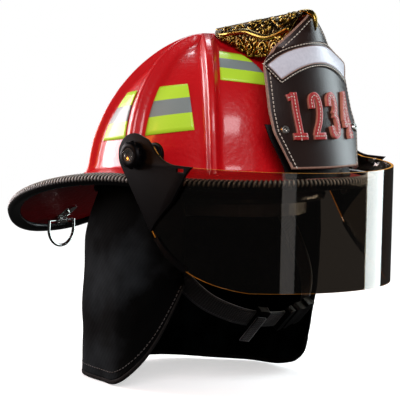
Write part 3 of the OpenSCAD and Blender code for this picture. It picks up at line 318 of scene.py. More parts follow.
def finish_of(name, **values):
    """A material of one surface shader. Gives the material, its nodes, the shader's sockets and
    the place on the piece, which a pattern reads."""
    made = bpy.data.materials.new(name)
    made.use_nodes = True
    tree = made.node_tree
    tree.nodes.clear()
    named = {key.replace("_", " "): value for key, value in values.items()}
    surface = add(tree, "BsdfPrincipled", named)
    add(tree, "OutputMaterial", {"Surface": surface})
    return made, tree, surface.inputs, add(tree, "TexCoord").outputs["Object"]


# Two-pack enamel, sprayed: a deep red under a clear gloss, with a slow ripple of orange peel
# about 5 mm across. Where it faces down it has less coat and gloss, and a darker red that is
# painted shade
enamel_red, tree, surface, place = finish_of(
    "enamel_fire_red", Roughness=0.36, IOR=1.48, Coat_Weight=0.5, Coat_Roughness=0.12
)
facing = add(tree, "SeparateXYZ", {0: place.node.outputs["Normal"]}).outputs["Z"]
below = add(tree, "MapRange", {"Value": facing, "From Min": -0.25, "From Max": -0.55})
# Painted shade: the faces that look down take the darker red
underside_shade_red = {0: below, 6: "#c80f18", 7: "#b00e16"}
add(tree, "Mix", underside_shade_red, surface["Base Color"], data_type="RGBA")
add(tree, "MapRange", {"Value": below, "To Min": 0.5, "To Max": 0.06}, surface["Coat Weight"])
shine = {"Value": below, "To Min": 0.25, "To Max": 0.06}
add(tree, "MapRange", shine, surface["Specular IOR Level"])
peel = add(tree, "TexNoise", {"Vector": place, "Scale": 210, "Detail": 3})
add(tree, "Bump", {"Height": peel, "Strength": 0.3, "Distance": 0.002}, surface["Normal"])


def shell_place(u, v, part):
    """Point of the shell's outside or inside, its columns closer together over the ribs."""
    turn = u * 8
    rib = round(turn)
    share = (turn - rib) * 2
    a = 45 * rib + copysign(22.5 * abs(share) ** 1.7, share)
    keys = shell_line(round(a % 360, 6))[part]
    return along(keys, v * (len(keys) - 1))


shell_columns = 8 * 48
shell = joined(
    [
        placed_grid(shell_columns, 60, lambda u, v: shell_place(u, v, 0)),
        placed_grid(shell_columns, 27, lambda u, v: shell_place(u, v, 1)),
    ]
)
bmesh.ops.remove_doubles(shell, verts=shell.verts, dist=0.02)
bmesh.ops.bridge_loops(shell, edges=[e for e in shell.edges if e.is_boundary])
bmesh.ops.recalc_face_normals(shell, faces=shell.faces)
outer_shell = make_piece(shell, "ribbed_shell", enamel_red, sharp=50)
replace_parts(outer_shell, "outer_shell")

# Edge beading: a rubber moulding pushed over the brim's edge and glued. Its top carries a slanting
# rope pattern from the mould, drawn coarser than the real one so that it shows.
bead_wide, bead_high, rope_deep, rope_count = 6, 4.8, 0.85, 240
# Moulded rubber: black with a low sheen, with painted glints: the crests of the ropes on its top
# are painted pale grey as highlights. A fine grain softens the gloss
rubber_black, tree, surface, place = finish_of(
    "rubber_black", Roughness=0.26, Specular_IOR_Level=0.22
)
crest = add(tree, "Attribute", attribute_name="crest").outputs["Fac"]
add(tree, "Mix", {0: crest, 6: "#040405", 7: "#9c9a93"}, surface["Base Color"], data_type="RGBA")
grain = add(tree, "TexNoise", {"Vector": place, "Scale": 900, "Detail": 2})
add(tree, "Bump", {"Height": grain, "Strength": 0.15, "Distance": 0.001}, surface["Normal"])

# The brim's length from the front, at each tenth of a degree
bead_run = [0.0]
for step in range(1, 3601):
    tenth = (edge_point(step / 10) - edge_point((step - 1) / 10)).length
    bead_run.append(bead_run[-1] + tenth)


def bead_place(u, v):
    """Point of the beading: u goes round the brim by its length and v round its section."""
    goal = u * bead_run[-1]
    low, high = 0, 3600
    while high - low > 1:
        middle = (low + high) // 2
        low, high = (middle, high) if bead_run[middle] <= goal else (low, middle)
    a = (low + (goal - bead_run[low]) / (bead_run[high] - bead_run[low])) / 10
    e, before, after = edge_point(a), edge_point(a - 1), edge_point(a + 1)
    line = (after - before).normalized()
    slope = (brim_point(a, 0.9, 0, 0) - e).normalized()
    slope = (slope - line * slope.dot(line)).normalized()
    up = line.cross(slope)
    up = up if up.z > 0 else -up
    turn = 2 * pi * v
    x = copysign(abs(cos(turn)) ** 0.62, cos(turn)) * bead_wide
    z = copysign(abs(sin(turn)) ** 0.72, sin(turn)) * bead_high
    top = max(0, min(1, (z - 0.5) / 2.5)) * max(0, min(1, (4.2 - x) / 2))
    wave = sin(2 * pi * (u * rope_count + 0.09 * x))
    # Painted glint: how pale this point is, highest on the crests of the ropes along the top
    rope_crests.append(top * max(0, wave) ** 0.6)
    return e - Vector((0, 0, 1.5)) + slope * (x + 4.5) + up * (z + rope_deep * top * wave)


def closed(shape, near=0.001):
    """Merges doubled corners, fills open ends and turns the faces outwards."""
    bmesh.ops.remove_doubles(shape, verts=shape.verts, dist=near)
    bmesh.ops.holes_fill(shape, edges=[e for e in shape.edges if e.is_boundary])
    bmesh.ops.recalc_face_normals(shape, faces=shape.faces)
    return shape


rope_crests = []
bead = placed_grid(rope_count * 8, 20, bead_place)
crest_layer = bead.verts.layers.float.new("crest")
for corner, crest in zip(bead.verts, rope_crests):
    corner[crest_layer] = crest
edge_beading = make_piece(closed(bead, 0.02), "rope_beading", rubber_black)
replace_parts(edge_beading, "edge_beading")

# Reflective trapezoids: die-cut tape stuck on the panels between the ribs, a silver band of glass
# beads between two bands of fluorescent lime film. Both bands glow a little in their own colour, a
# painted light, and both show the tape's cells, 1.4 mm across.
tape, tree, surface, place = finish_of(
    "reflective_tape", Roughness=0.42, Coat_Weight=0.15, Emission_Strength=0.16
)
height = add(tree, "SeparateXYZ", {0: add(tree, "UVMap", uv_map="sheet")}).outputs["Y"]
low = add(tree, "Math", {0: height, 1: 0.34}, operation="GREATER_THAN")
high = add(tree, "Math", {0: height, 1: 0.67}, operation="LESS_THAN")
band = add(tree, "Math", {0: low, 1: high}, operation="MULTIPLY")
lime_silver = {0: band, 6: "#b4e032", 7: "#7c8887"}
# Painted light: the bands' colours go into the emission as well, so the tape glows
lit = surface["Base Color"], surface["Emission Color"]
add(tree, "Mix", lime_silver, *lit, data_type="RGBA")
cells = add(tree, "TexVoronoi", {"Vector": place, "Scale": 700})
add(tree, "Bump", {"Height": cells, "Strength": 0.1, "Distance": 0.0005}, surface["Normal"])


def trim_place(k, u, v):
    """Point of one trapezoid: k counts the panels, and the front two sit higher and lean."""
    ahead = k in (0, 7)
    low, high = (38, 66) if ahead else (15.5, 40)
    climb, pull = mix(low, high, v), v * (0.3 if ahead else 1)
    middle = 45 * (k + 0.5)
    r = dome_reach(middle) * cos(radians(climb)) ** (2 / roundness(middle))
    fore = degrees(asin((4.5 + mix(11, 15, pull)) / r))
    aft = degrees(asin((4.5 + mix(6.5, 9, pull)) / r))
    if ahead:
        climb -= 5.5 * ((u if k else 1 - u) - 0.6)
        aft *= 0.85
    low_side, high_side = (fore, aft) if k < 4 else (aft, fore)
    return dome_point(mix(45 * k + low_side, 45 * (k + 1) - high_side, u), climb, -0.8, 0)


def change(piece, name, kind, **settings):
    """Puts a modifier on a piece with its settings."""
    made = piece.modifiers.new(name, kind)
    for key, value in settings.items():
        setattr(made, key, value)


trim = joined([placed_grid(20, 12, lambda u, v: trim_place(k, u, v)) for k in range(8)])
bmesh.ops.recalc_face_normals(trim, faces=trim.faces)
reflective_trim = make_piece(trim, "reflective_tape", tape)
change(reflective_trim, "tape_wall", "SOLIDIFY", thickness=0.0005, offset=0)
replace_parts(reflective_trim, "reflective_trim")

# Eagle: one sand casting in brass on the front rib, carved with feathers, curled leaves and a
# smooth ribbon along each side, polished on the high parts and dark in the hollows.
# Cast brass: a warm metal, olive where tarnished; the mould's sand leaves pits about 1 mm across
brass, tree, surface, place = finish_of("brass_cast", Metallic=1.0, Roughness=0.24)
carved = add(tree, "Attribute", attribute_name="carved").outputs["Fac"]
add(tree, "Mix", {0: carved, 6: "#261a07", 7: "#8c7434"}, surface["Base Color"], data_type="RGBA")
pits = add(tree, "TexNoise", {"Vector": place, "Scale": 900, "Detail": 3})
add(tree, "Bump", {"Height": pits, "Strength": 0.25, "Distance": 0.0006}, surface["Normal"])
eagle_long, feather_long, feather_wide, feather_step = 108, 8, 6, 5


@lru_cache(maxsize=20000)
def shell_top(x, y):
    """Height of the shell's outside over a point in plan."""
    z = 110
    for _ in range(3):
        middle = dome_middle + dome_lean * max(0, z)
        d, a = hypot(x, y - middle), degrees(atan2(x, middle - y))
        n = roundness(a)
        q = dome_reach(a) * min(1, d / dome_reach(a)) ** (0.95 * n / 2)
        k = rib_share(q * sin(radians(from_rib(a))), 10.35)
        u = d / (dome_reach(a) + k * rib_out)
        z = (dome_high + k * rib_up) * (1 - u**n) ** (1 / n) if u < 1 else -100
    return z


def eagle_skin(t, u):
    """Point of the casting before carving: t from tail to head, u from -1 to 1 over the crest."""
    s, u = copysign(1, u), abs(u)
    half = 8.5 + 10.5 * t**0.8
    foot_y = mix(-22, -112, t)
    foot_z = max(shell_top(half, foot_y) + 2, 103.5 + 3 * t)
    x = half * sin(pi / 2 * u) ** 0.8
    y, z = mix(mix(-15, -123, t), foot_y, u), mix(mix(126, 146, t), foot_z, u**1.5)
    return Vector((s * x, y, max(z, shell_top(x, y) + 2.2)))


def feather_height(run, round_by):
    """Overlapping rows of feathers, each rising to a rounded tip with a quill along it."""
    row = int(run // feather_step)
    for k in (row + 1, row, row - 1):
        x = round_by / feather_wide - 0.5 * (k % 2)
        x = 2 * (x - round(x))
        past = run - feather_step * k
        if 0 <= past <= feather_long * (1 - 0.55 * x * x):
            quill = 0.3 * max(0, 1 - abs(x) / 0.16)
            return 0.2 + 0.7 * past / feather_long + quill - 0.25 * x * x
    return 0.0


def eagle_place(u, v):
    side = 2 * u - 1
    p = eagle_skin(v, side)
    ahead = eagle_skin(min(1, v + 0.012), side) - eagle_skin(max(0, v - 0.012), side)
    across = eagle_skin(v, min(1, side + 0.012)) - eagle_skin(v, max(-1, side - 0.012))
    out = ahead.cross(across)
    out = -out if out.dot(Vector((side, 0, 0.6))) < 0 else out
    height = feather_height(eagle_long * (1 - v), side * (20 + 22 * v))
    carve_depths.append(max(0, min(0.6, 0.55 * height)))
    return p + out.normalized() * height * min(1, (1 - abs(side)) / 0.05)


carve_depths = []
casting = placed_grid(110, 190, eagle_place)
carve_layer = casting.verts.layers.float.new("carved")
for corner, depth in zip(casting.verts, carve_depths):
    corner[carve_layer] = depth
bmesh.ops.recalc_face_normals(casting, faces=casting.faces)
eagle = make_piece(casting, "eagle_casting", brass)
change(eagle, "casting_wall", "SOLIDIFY", thickness=0.0014, offset=-1)
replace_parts(eagle, "eagle")


def swept(path, radii, around):
    """A round rod along a path of points, with a radius at each point, closed at its ends."""
    last = len(path) - 1
    ahead = [(path[min(i + 1, last)] - path[max(i - 1, 0)]).normalized() for i in range(last + 1)]
    side = ahead[0].orthogonal().normalized()
    sides = []
    for way in ahead:
        side = (side - way * side.dot(way)).normalized()
        sides.append(side)

    def place(u, v):
        i, turn = round(v * last), 2 * pi * u
        return path[i] + (sides[i] * cos(turn) + ahead[i].cross(sides[i]) * sin(turn)) * radii[i]

    return closed(placed_grid(around, last, place))


def on_casting(t, u, lift):
    """Point over the carved skin, t from tail to head and u from -1 to 1."""
    t, u = min(0.985, max(0.01, t)), min(0.985, max(-0.985, u))
    p = eagle_skin(t, u)
    out = (eagle_skin(t + 0.01, u) - p).cross(eagle_skin(t, u - copysign(0.01, u)) - p).normalized()
    out = -out if out.dot(Vector((u, 0, 0.6))) < 0 else out
    return p + out * lift


def leaf_curl(t, u, size, way):
    """A curled leaf: a tapering coil round a small ball, with five lobes fanned out of its back."""
    side_long = 20 + 22 * t

    def at(r, turn, lift):
        sideways = r * sin(turn) / side_long * copysign(1, u)
        return on_casting(t + r * cos(turn) / eagle_long, u + sideways, lift)

    coil = [
        at(size * (1 - 0.8 * i / 26), way * 2 * pi * 1.4 * i / 26, 2 + i / 16) for i in range(27)
    ]
    made = [swept(coil, [0.24 * size * (1 - 0.5 * i / 26) for i in range(27)], 8)]
    for k in range(5):
        turn = way * (0.3 - 0.62 * k)
        lobe = [
            at(size * (0.9 + 0.2 * i), turn - way * 0.12 * i, 2.4 - 0.07 * i * i) for i in range(6)
        ]
        swell = (0.2, 1.2, 1.7, 1.5, 0.8, -0.6)
        made.append(swept(lobe, [0.1 * size * (1 + w) for w in swell], 7))
    ball = bmesh.new()
    bmesh.ops.create_icosphere(ball, subdivisions=2, radius=0.3 * size)
    bmesh.ops.translate(ball, vec=at(0, 0, 3.2), verts=ball.verts)
    return made + [ball]


rods = []
for s in (-1, 1):
    ribbon = [
        on_casting(mix(0.06, 0.98, i / 60), s * (0.56 - 0.09 * sin(2 * pi * i / 46 - 1.4)), 1.6)
        for i in range(61)
    ]
    rods.append(swept(ribbon, [3.1 * min(1, 0.35 + i / 14) for i in range(61)], 12))
    for t, u, size, way in (
        (0.13, 0.22, 3.6, 1), (0.29, 0.24, 4.6, -1), (0.46, 0.22, 5.6, 1), (0.64, 0.26, 6.6, -1),
        (0.84, 0.28, 7, 1), (0.1, 0.8, 3, -1), (0.23, 0.84, 4, 1), (0.37, 0.86, 4.8, -1),
        (0.53, 0.86, 5.4, 1), (0.69, 0.88, 5.8, -1), (0.87, 0.86, 6, 1),
    ):
        rods += leaf_curl(t, s * u, size, way)
spine = [Vector((0, mix(-13, -122, i / 80), mix(126, 146, i / 80) + 1.4)) for i in range(81)]
rods.append(swept(spine, [1.4] * 81, 8))
# The head: a small skull with brows, and a long hooked beak over the tip of the leather
beak = ((-112, 144.6), (-117, 145.2), (-122, 145.6), (-125.5, 145.2), (-128.2, 143.6), (-130, 141),
        (-130.8, 137.6), (-131.2, 134), (-131.2, 130))
beak_radii = [3, 3.5, 3.5, 3.2, 2.8, 2.5, 2.1, 1.6, 0.6]
rods.append(swept([Vector((0, y, z)) for y, z in beak], beak_radii, 16))
brow = ((3, -113, 146.6), (3.4, -118, 147.2), (2.8, -123, 146.8), (1.6, -126.5, 145))
for s in (-1, 1):
    rods.append(swept([Vector((s * x, y, z)) for x, y, z in brow], [0.5, 1.1, 1.1, 0.4], 8))
relief = joined(rods)
carve_layer = relief.verts.layers.float.new("carved")
for corner in relief.verts:
    corner[carve_layer] = 1.0
eagle_relief = make_piece(relief, "eagle_relief", brass)

# Screws: steel, driven from inside the dome through the shell into the casting, which
# is tapped for them.
# Zinc-plated steel: a bright, slightly yellowed metal with turning marks 0.7 mm apart
steel_zinc, tree, surface, place = finish_of(
    "steel_zinc_plated", Base_Color="#b9b8b2", Metallic=1.0, Roughness=0.3
)
brushed = add(tree, "TexNoise", {"Vector": place, "Scale": 1400})
add(tree, "Bump", {"Height": brushed, "Strength": 0.08, "Distance": 0.0005}, surface["Normal"])
nodes["eagle_screws"].data.materials.clear()
nodes["eagle_screws"].data.materials.append(steel_zinc)

# Leather front: one shield of thick vegetable-tanned hide, dyed nearly black, moulded to a curve.
# Its edge is skived and left tan, and a row of cream stitches runs 5 mm inside it.
# Dyed hide: nearly black, clouded with brown where the dye took less, with pores 0.9 mm apart
hide_dark, tree, surface, place = finish_of("hide_dark", Roughness=0.33, Specular_IOR_Level=0.55)
dye = add(tree, "TexNoise", {"Vector": place, "Scale": 30, "Detail": 5})
add(tree, "Mix", {0: dye, 6: "#130a08", 7: "#2e1b15"}, surface["Base Color"], data_type="RGBA")
pores = add(tree, "TexVoronoi", {"Vector": place, "Scale": 1100})
add(tree, "Bump", {"Height": pores, "Strength": 0.12, "Distance": 0.0006}, surface["Normal"])
# Its cut edge: undyed, matt and fibrous, with fibres about 2 mm long
hide_tan, tree, surface, place = finish_of("hide_tan_edge", Roughness=0.6)
fibre = add(tree, "TexNoise", {"Vector": place, "Scale": 500, "Detail": 4})
add(tree, "Mix", {0: fibre, 6: "#6d4f43", 7: "#b28d79"}, surface["Base Color"], data_type="RGBA")
add(tree, "Bump", {"Height": fibre, "Strength": 0.3, "Distance": 0.0006}, surface["Normal"])

front_foot, front_tip, front_side, front_lean = 10, 145, 57.5, radians(13.2)
front_outline = (
    (front_foot, 0.79), (42, 1), (101, 0.95), (104.5, 0.88), (109, 0.77),
    (118, 0.605), (128, 0.405), (136, 0.24), (141, 0.13), (front_tip, 0.027),
)


def outline_half(z):
    """Half the width of the shield at a height."""
    for (low, a), (high, b) in zip(front_outline, front_outline[1:]):
        if z <= high:
            return front_side * mix(a, b, max(0, (z - low) / (high - low)))
    return front_side * front_outline[-1][1]


def front_half(z):
    """The same with its corners rounded, as a knife follows them."""
    return sum(outline_half(z + step) for step in (-3, -1, 1, 3)) / 4


def bow_at(z):
    """How far the sides stand back from the middle at a height."""
    low = mix(0.56, 1, (z - front_foot) / 50)
    return 17 * (low if z < 60 else min(1, front_half(z) / 38) ** 1.6)


def front_turn(x, z):
    return atan(2 * bow_at(z) * x / front_half(z) ** 2)


def front_face(x, z, behind):
    """Point of the curved, leaning shield, so far behind its face."""
    b = front_turn(x, z)
    y = -157 + (z - front_foot) * tan(front_lean) + bow_at(z) * (x / front_half(z)) ** 2
    return Vector((x - behind * sin(b), y + behind * cos(b), z))


def shield_place(u, v):
    z = mix(front_foot, front_tip, v)
    x = (2 * u - 1) * front_half(z)
    rim = min(front_half(z) - abs(x), front_tip - z, z - front_foot)
    return front_face(x, z, 0.9 * (1 - max(0, min(2, rim)) / 2) ** 2)


shield_face = make_piece(placed_grid(120, 130, shield_place), "leather_shield", hide_dark)
shield_face.data.materials.append(hide_tan)
for face in shield_face.data.polygons:
    x, z = abs(face.center.x) * 1000, face.center.z * 1000
    face.material_index = int(min(front_half(z) - x, z - front_foot) < 2)
change(
    shield_face, "hide_wall", "SOLIDIFY",
    thickness=0.0036, offset=-1, material_offset_rim=1, material_offset=1,
)
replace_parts(shield_face, "leather_front")

# Stitches: sewn by hand through holes pricked with an awl, 3 to 4 mm apart; one small bar stands
# for each stitch.
# Waxed linen thread: cream with a low sheen, its plies 0.35 mm apart
thread, tree, surface, place = finish_of("thread_waxed", Base_Color="#d8cdbd", Roughness=0.55)
twist = add(tree, "TexWave", {"Vector": place, "Scale": 900}).outputs["Fac"]
add(tree, "Bump", {"Height": twist, "Strength": 0.3, "Distance": 0.0003}, surface["Normal"])


def stitches(name, line, pitch, long, wide, high, finish):
    """Small rounded bars along a line of points, each with the way that its top faces."""
    made = bmesh.new()
    run, goal = 0.0, pitch / 2
    for (p, out), (q, _) in zip(line, line[1:]):
        length = (q - p).length
        while run + length >= goal:
            middle = p.lerp(q, (goal - run) / length)
            ahead = (q - p).normalized()
            side = out.cross(ahead).normalized()
            axes = Matrix((ahead, side, out)).transposed().to_4x4()
            bar = bmesh.ops.create_cube(made, size=1)["verts"]
            bmesh.ops.scale(made, vec=(long, wide, high), verts=bar)
            for corner in bar:
                corner.co.z *= 0.4 if abs(corner.co.x) > 0 and corner.co.z > 0 else 1
            bmesh.ops.transform(made, matrix=Matrix.Translation(middle) @ axes, verts=bar)
            goal += pitch
        run += length
    return make_piece(made, name, finish)


def on_shield(x, z, lift):
    """Point in front of the shield and the way that its face looks there."""
    b = front_turn(x, z)
    return front_face(x, z, -lift), Vector((sin(b), -cos(b), 0))


def mitred(points, ring=False):
    """Points drawn on the shield, each with the sideways step that keeps a strip's width."""
    made, n = [], len(points)
    for i, p in enumerate(points):
        before = points[i - 1] if i or ring else None
        after = points[(i + 1) % n] if i + 1 < n or ring else None
        a = (p - before).normalized() if before is not None else (after - p).normalized()
        b = (after - p).normalized() if after is not None else a
        way = (a + b).normalized()
        made.append((p, Vector((-way.y, way.x)) / max(0.5, way.dot(a))))
    return made


def finely(points, pitch=2.5):
    """The same line with more points along its straight parts."""
    made = []
    for p, q in zip(points, points[1:]):
        count = max(1, round((q - p).length / pitch))
        made += [p.lerp(q, i / count) for i in range(count)]
    return made + [points[-1]]


# The edge's row: up one side, over the tip and down the other
right = [Vector((front_side * share, z)) for z, share in front_outline]
edge = finely(right + [Vector((-p.x, p.y)) for p in reversed(right)], 3)
edge = [p + side * 4.6 for p, side in mitred(edge)]
edge = [on_shield(p.x, p.y, 0.3) for p in edge if p.y < 134 or abs(p.x) > 1]
edge_thread = stitches("edge_stitches", edge, 3.6, 2.4, 0.85, 0.6, thread)

# Banner: a strip of silver foil board let in under a raised window of leather, which is cut out
# with a knife, so its inner edge is bare tan, and sewn down all round.
# Foil board: a pale satin silver, more paint than metal, crackled in patches 2 to 3 mm wide
foil, tree, surface, place = finish_of("foil_board", Metallic=0.1, Roughness=0.4)
crackle = add(tree, "TexNoise", {"Vector": place, "Scale": 420, "Detail": 3})
add(tree, "Mix", {0: crackle, 6: "#c6c8d2", 7: "#e4e4ec"}, surface["Base Color"], data_type="RGBA")
add(tree, "Bump", {"Height": crackle, "Strength": 0.1, "Distance": 0.0003}, surface["Normal"])


def banner_point(u, v):
    """Point drawn on the shield: u from -1 to 1 along the banner, v from its top to its foot."""
    return Vector((u * mix(51, 42, v), mix(117, 102, v) - mix(17, 14, v) * u * u))


def banner_place(u, v):
    p = banner_point(2 * u - 1, 1 - v)
    return front_face(p.x, p.y, -1.6)


banner = make_piece(placed_grid(60, 10, banner_place), "banner_strip", foil)
change(banner, "banner_wall", "SOLIDIFY", thickness=0.0012, offset=-1)
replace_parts(banner, "front_banner")
window = [banner_point(i / 30 - 1, 0) for i in range(60)]
window += [banner_point(1, i / 8) for i in range(8)]
window += [banner_point(1 - i / 30, 1) for i in range(60)]
window += [banner_point(-1, 1 - i / 8) for i in range(8)]
window = mitred(window, ring=True)
frame_section = ((0.2, 0.4), (0.0, 2.0), (-0.5, 2.2), (-1.2, 2.1), (-2.6, 1.3), (-4.0, 0.2))


def window_place(u, v):
    """Point of the raised frame, whose section is drawn across the window's line."""
    p, side = window[round(u * len(window)) % len(window)]
    across, lift = frame_section[round(v * 5)]
    p = p - side * across
    half = front_half(p.y)
    return front_face(max(-half, min(half, p.x)), p.y, -lift)


window_frame = placed_grid(len(window), 5, window_place)
bmesh.ops.remove_doubles(window_frame, verts=window_frame.verts, dist=0.001)
bmesh.ops.recalc_face_normals(window_frame, faces=window_frame.faces)
banner_window = make_piece(window_frame, "banner_window", hide_dark, sharp=50)
banner_window.data.materials.append(hide_tan)
for face in banner_window.data.polygons:
    face.material_index = int(face.index // len(window) < 2)
change(banner_window, "soft_leather", "SUBSURF", levels=1, render_levels=1)
around = [p + side * 2.4 for p, side in window]
around = [on_shield(p.x, p.y, 1.7) for p in around + around[:1]]
banner_thread = stitches("banner_stitches", around, 3.0, 2.1, 0.8, 0.6, thread)

# Company number: four figures cut from leather 3 mm thick and sewn down along their middles.
# Red hide: bright and a little uneven, its grain drawn 4 mm wide, coarser than real, to show
hide_red, tree, surface, place = finish_of("hide_red", Roughness=0.38)
dye = add(tree, "TexNoise", {"Vector": place, "Scale": 260, "Detail": 3})
add(tree, "Mix", {0: dye, 6: "#86101a", 7: "#c83a36"}, surface["Base Color"], data_type="RGBA")
add(tree, "Bump", {"Height": dye, "Strength": 0.25, "Distance": 0.0006}, surface["Normal"])
# Its cut edge: where the dye didn't reach, matt and salmon, with a fuzz 1.4 mm long
hide_salmon, tree, surface, place = finish_of("hide_salmon_edge", Roughness=0.6)
fuzz = add(tree, "TexNoise", {"Vector": place, "Scale": 700, "Detail": 3})
add(tree, "Mix", {0: fuzz, 6: "#a8503f", 7: "#e39a80"}, surface["Base Color"], data_type="RGBA")
figure_strokes = {
    "1": (
        ((-0.85, 0.88), (0.05, 0.925)), ((0.05, 1.0), (0.05, 0.0)), ((-0.95, 0.075), (1.05, 0.075)),
    ),
    "2": (
        ((-0.62, 0.66), (-0.6, 0.84), (-0.2, 0.925), (0.3, 0.91), (0.6, 0.78), (0.58, 0.58),
         (0.25, 0.38), (-0.3, 0.2), (-0.62, 0.08)),
        ((-0.95, 0.075), (1.0, 0.075)),
    ),
    "3": (
        ((-0.62, 0.7), (-0.55, 0.86), (-0.1, 0.925), (0.35, 0.9), (0.6, 0.76), (0.5, 0.6),
         (0.0, 0.52)),
        ((0.0, 0.52), (0.5, 0.45), (0.64, 0.28), (0.5, 0.13), (0.0, 0.075), (-0.45, 0.11),
         (-0.64, 0.28)),
    ),
    "4": (
        ((0.32, 0.93), (-0.66, 0.36)), ((-0.95, 0.3), (1.0, 0.3)), ((0.32, 1.0), (0.32, 0.0)),
        ((-0.25, 0.06), (0.95, 0.06)),
    ),
}
figure_high, figure_half, figure_bar, figure_foot = 41, 6.8, 5.8, 35.5
figures, figure_lines = [], []
for middle, figure in zip((-34.5, -13.5, 7.5, 28.5), "1234"):
    for order, stroke in enumerate(figure_strokes[figure]):
        corners = [
            Vector((middle + x * figure_half, figure_foot + y * figure_high)) for x, y in stroke
        ]
        if len(corners) > 2:
            keys = [p.to_3d() for p in corners]
            corners = [along(keys, i / 5).to_2d() for i in range(5 * (len(keys) - 1) + 1)]
        strip = mitred(finely(corners))

        def stroke_place(u, v):
            p, side = strip[round(v * (len(strip) - 1))]
            p = p + side * (0.5 - u) * figure_bar
            return front_face(p.x, p.y, -2.9 - 0.1 * order)

        figures.append(placed_grid(4, len(strip) - 1, stroke_place))
        figure_lines.append([on_shield(p.x, p.y, 3.05 + 0.1 * order) for p, _ in strip])
company_number = make_piece(joined(figures), "company_number", hide_red)
company_number.data.materials.append(hide_salmon)
change(
    company_number, "number_wall", "SOLIDIFY", thickness=0.0028, offset=-1, material_offset_rim=1
)
change(
    company_number, "number_edge", "BEVEL",
    width=0.0005, segments=1, limit_method="ANGLE", angle_limit=radians(50),
)
for count, line in enumerate(figure_lines):
    sewn = stitches(f"number_stitches_{count}", line, 2.9, 2.0, 0.8, 0.5, thread)


# Front bracket: a steel plate behind the leather, folded at its foot, riveted to the brim and
# held to the leather by two cross-headed screws.
def copy_of(node, name, finish, body="helmet", sharp=35, rounded=0):
    """A merged copy of a CAD node in its place, smooth up to a sharp angle, its edges rounded."""
    shape = bmesh.new()
    shape.from_mesh(nodes[node].data)
    bmesh.ops.remove_doubles(shape, verts=shape.verts, dist=0.00002)
    bmesh.ops.dissolve_degenerate(shape, edges=shape.edges, dist=0.000005)
    piece = make_piece(shape, name, finish, body, sharp, scale=1)
    if rounded:
        change(
            piece, "rounded_edges", "BEVEL", width=rounded * 0.001, segments=2,
            limit_method="ANGLE", angle_limit=radians(40), harden_normals=True,
        )
    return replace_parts(piece, node)


# Black powder coat on steel: a flat black with little gloss and an orange peel 1.3 mm across
powder_black, tree, surface, place = finish_of(
    "steel_black_powder", Base_Color="#050506", Roughness=0.5, Specular_IOR_Level=0.15
)
orange = add(tree, "TexNoise", {"Vector": place, "Scale": 800, "Detail": 2})
add(tree, "Bump", {"Height": orange, "Strength": 0.25, "Distance": 0.0005}, surface["Normal"])
copy_of("front_bracket", "bracket_plate", powder_black, rounded=0.4)
copy_of("front_screws", "cross_screws", steel_zinc, rounded=0.25)

# Visor pivots: a bent steel bracket on each side of the brim carries the boss that the plate and
# the lens turn on, with a steel stud through it and a zinc-plated washer under the knob.
for side in ("right", "left"):
    bracket = copy_of(f"pivot_bracket_{side}", f"side_bracket_{side}", powder_black, rounded=0.4)
copy_of("pivot_studs", "threaded_studs", steel_zinc)
copy_of("bracket_rivets", "brim_rivets", steel_zinc, rounded=0.3)
copy_of("friction_washers", "knob_washers", steel_zinc)

# Lens: one sheet of polycarbonate 2.4 mm thick, dip-coated a dark smoke brown, bent round the
# face. It is clear and smooth, with slow waves from the bending. Its cut edges, with saw marks 3 mm
# apart, glow amber by a painted emission that stands for the light they carry.
lens_smoke, tree, surface, place = finish_of(
    "polycarbonate_smoke", Base_Color="#cbb9a6", Roughness=0.02, IOR=1.58, Transmission_Weight=1.0
)
dip = add(tree, "TexNoise", {"Vector": place, "Scale": 7})
add(tree, "Bump", {"Height": dip, "Strength": 0.05, "Distance": 0.002}, surface["Normal"])
# Painted light: the cut edges glow amber of their own
lens_amber, tree, surface, place = finish_of(
    "polycarbonate_edge", Roughness=0.25, IOR=1.58, Emission_Color="#c8822a", Emission_Strength=0.5
)
saw = add(tree, "TexNoise", {"Vector": place, "Scale": 300})
add(tree, "Mix", {0: saw, 6: "#8a5a12", 7: "#e8b04a"}, surface["Base Color"], data_type="RGBA")
pivot_y, pivot_z, ear_reach = -40, 19, 17.4
lens_side, lens_nose, lens_middle = 130.2, 127, -60


def pivot_arc(radius, turns):
    """Points on a circle round the pivot, drawn in side view."""
    turns = [radians(turn) for turn in turns]
    return [Vector((pivot_y + radius * cos(t), pivot_z + radius * sin(t))) for t in turns]


def pulled(start, handle, end, count, first=0):
    """Points along a curve from start to end that is pulled towards a handle."""
    p, q, r, made = Vector(start), Vector(handle), Vector(end), []
    for i in range(first, count + 1):
        t = i / count
        made.append(p * (1 - t) ** 2 + q * 2 * t * (1 - t) + r * t * t)
    return made


lens_high = pivot_arc(ear_reach, range(0, 121, 10))
lens_high += [
    Vector(p) for p in ((-54.5, 31.8), (-60, 27), (-66, 20.3), (-74, 14.6), (-88, 11.6),
                        (-112, 11), (-188, 8.5))
]
lens_low = pivot_arc(ear_reach, range(0, -38, -6))
lens_low += pulled((-63.5, -49), (-90, -85), (-145, -94.9), 12)
lens_low.append(Vector((-188, -95.3)))


def height_on(line, y):
    """Height of a line drawn in side view, at a distance forward."""
    for p, q in zip(line, line[1:]):
        if q.x <= y:
            return mix(p.y, q.y, max(0, (p.x - y) / max(0.001, p.x - q.x)))
    return line[-1].y


def lens_place(u, v):
    """Point of the lens: a half round ahead of the ears, and a straight side back to the pivot."""
    s = 2 * u - 1
    if abs(s) > 0.8:
        back = 1 - (1 - (abs(s) - 0.8) / 0.2) ** 1.5
        x, y = copysign(lens_side, s), mix(lens_middle, pivot_y + ear_reach, back)
    else:
        turn = radians(90 * s / 0.8)
        x, y = lens_side * sin(turn), lens_middle - lens_nose * cos(turn)
    return Vector((x, y, mix(height_on(lens_low, y), height_on(lens_high, y), v)))


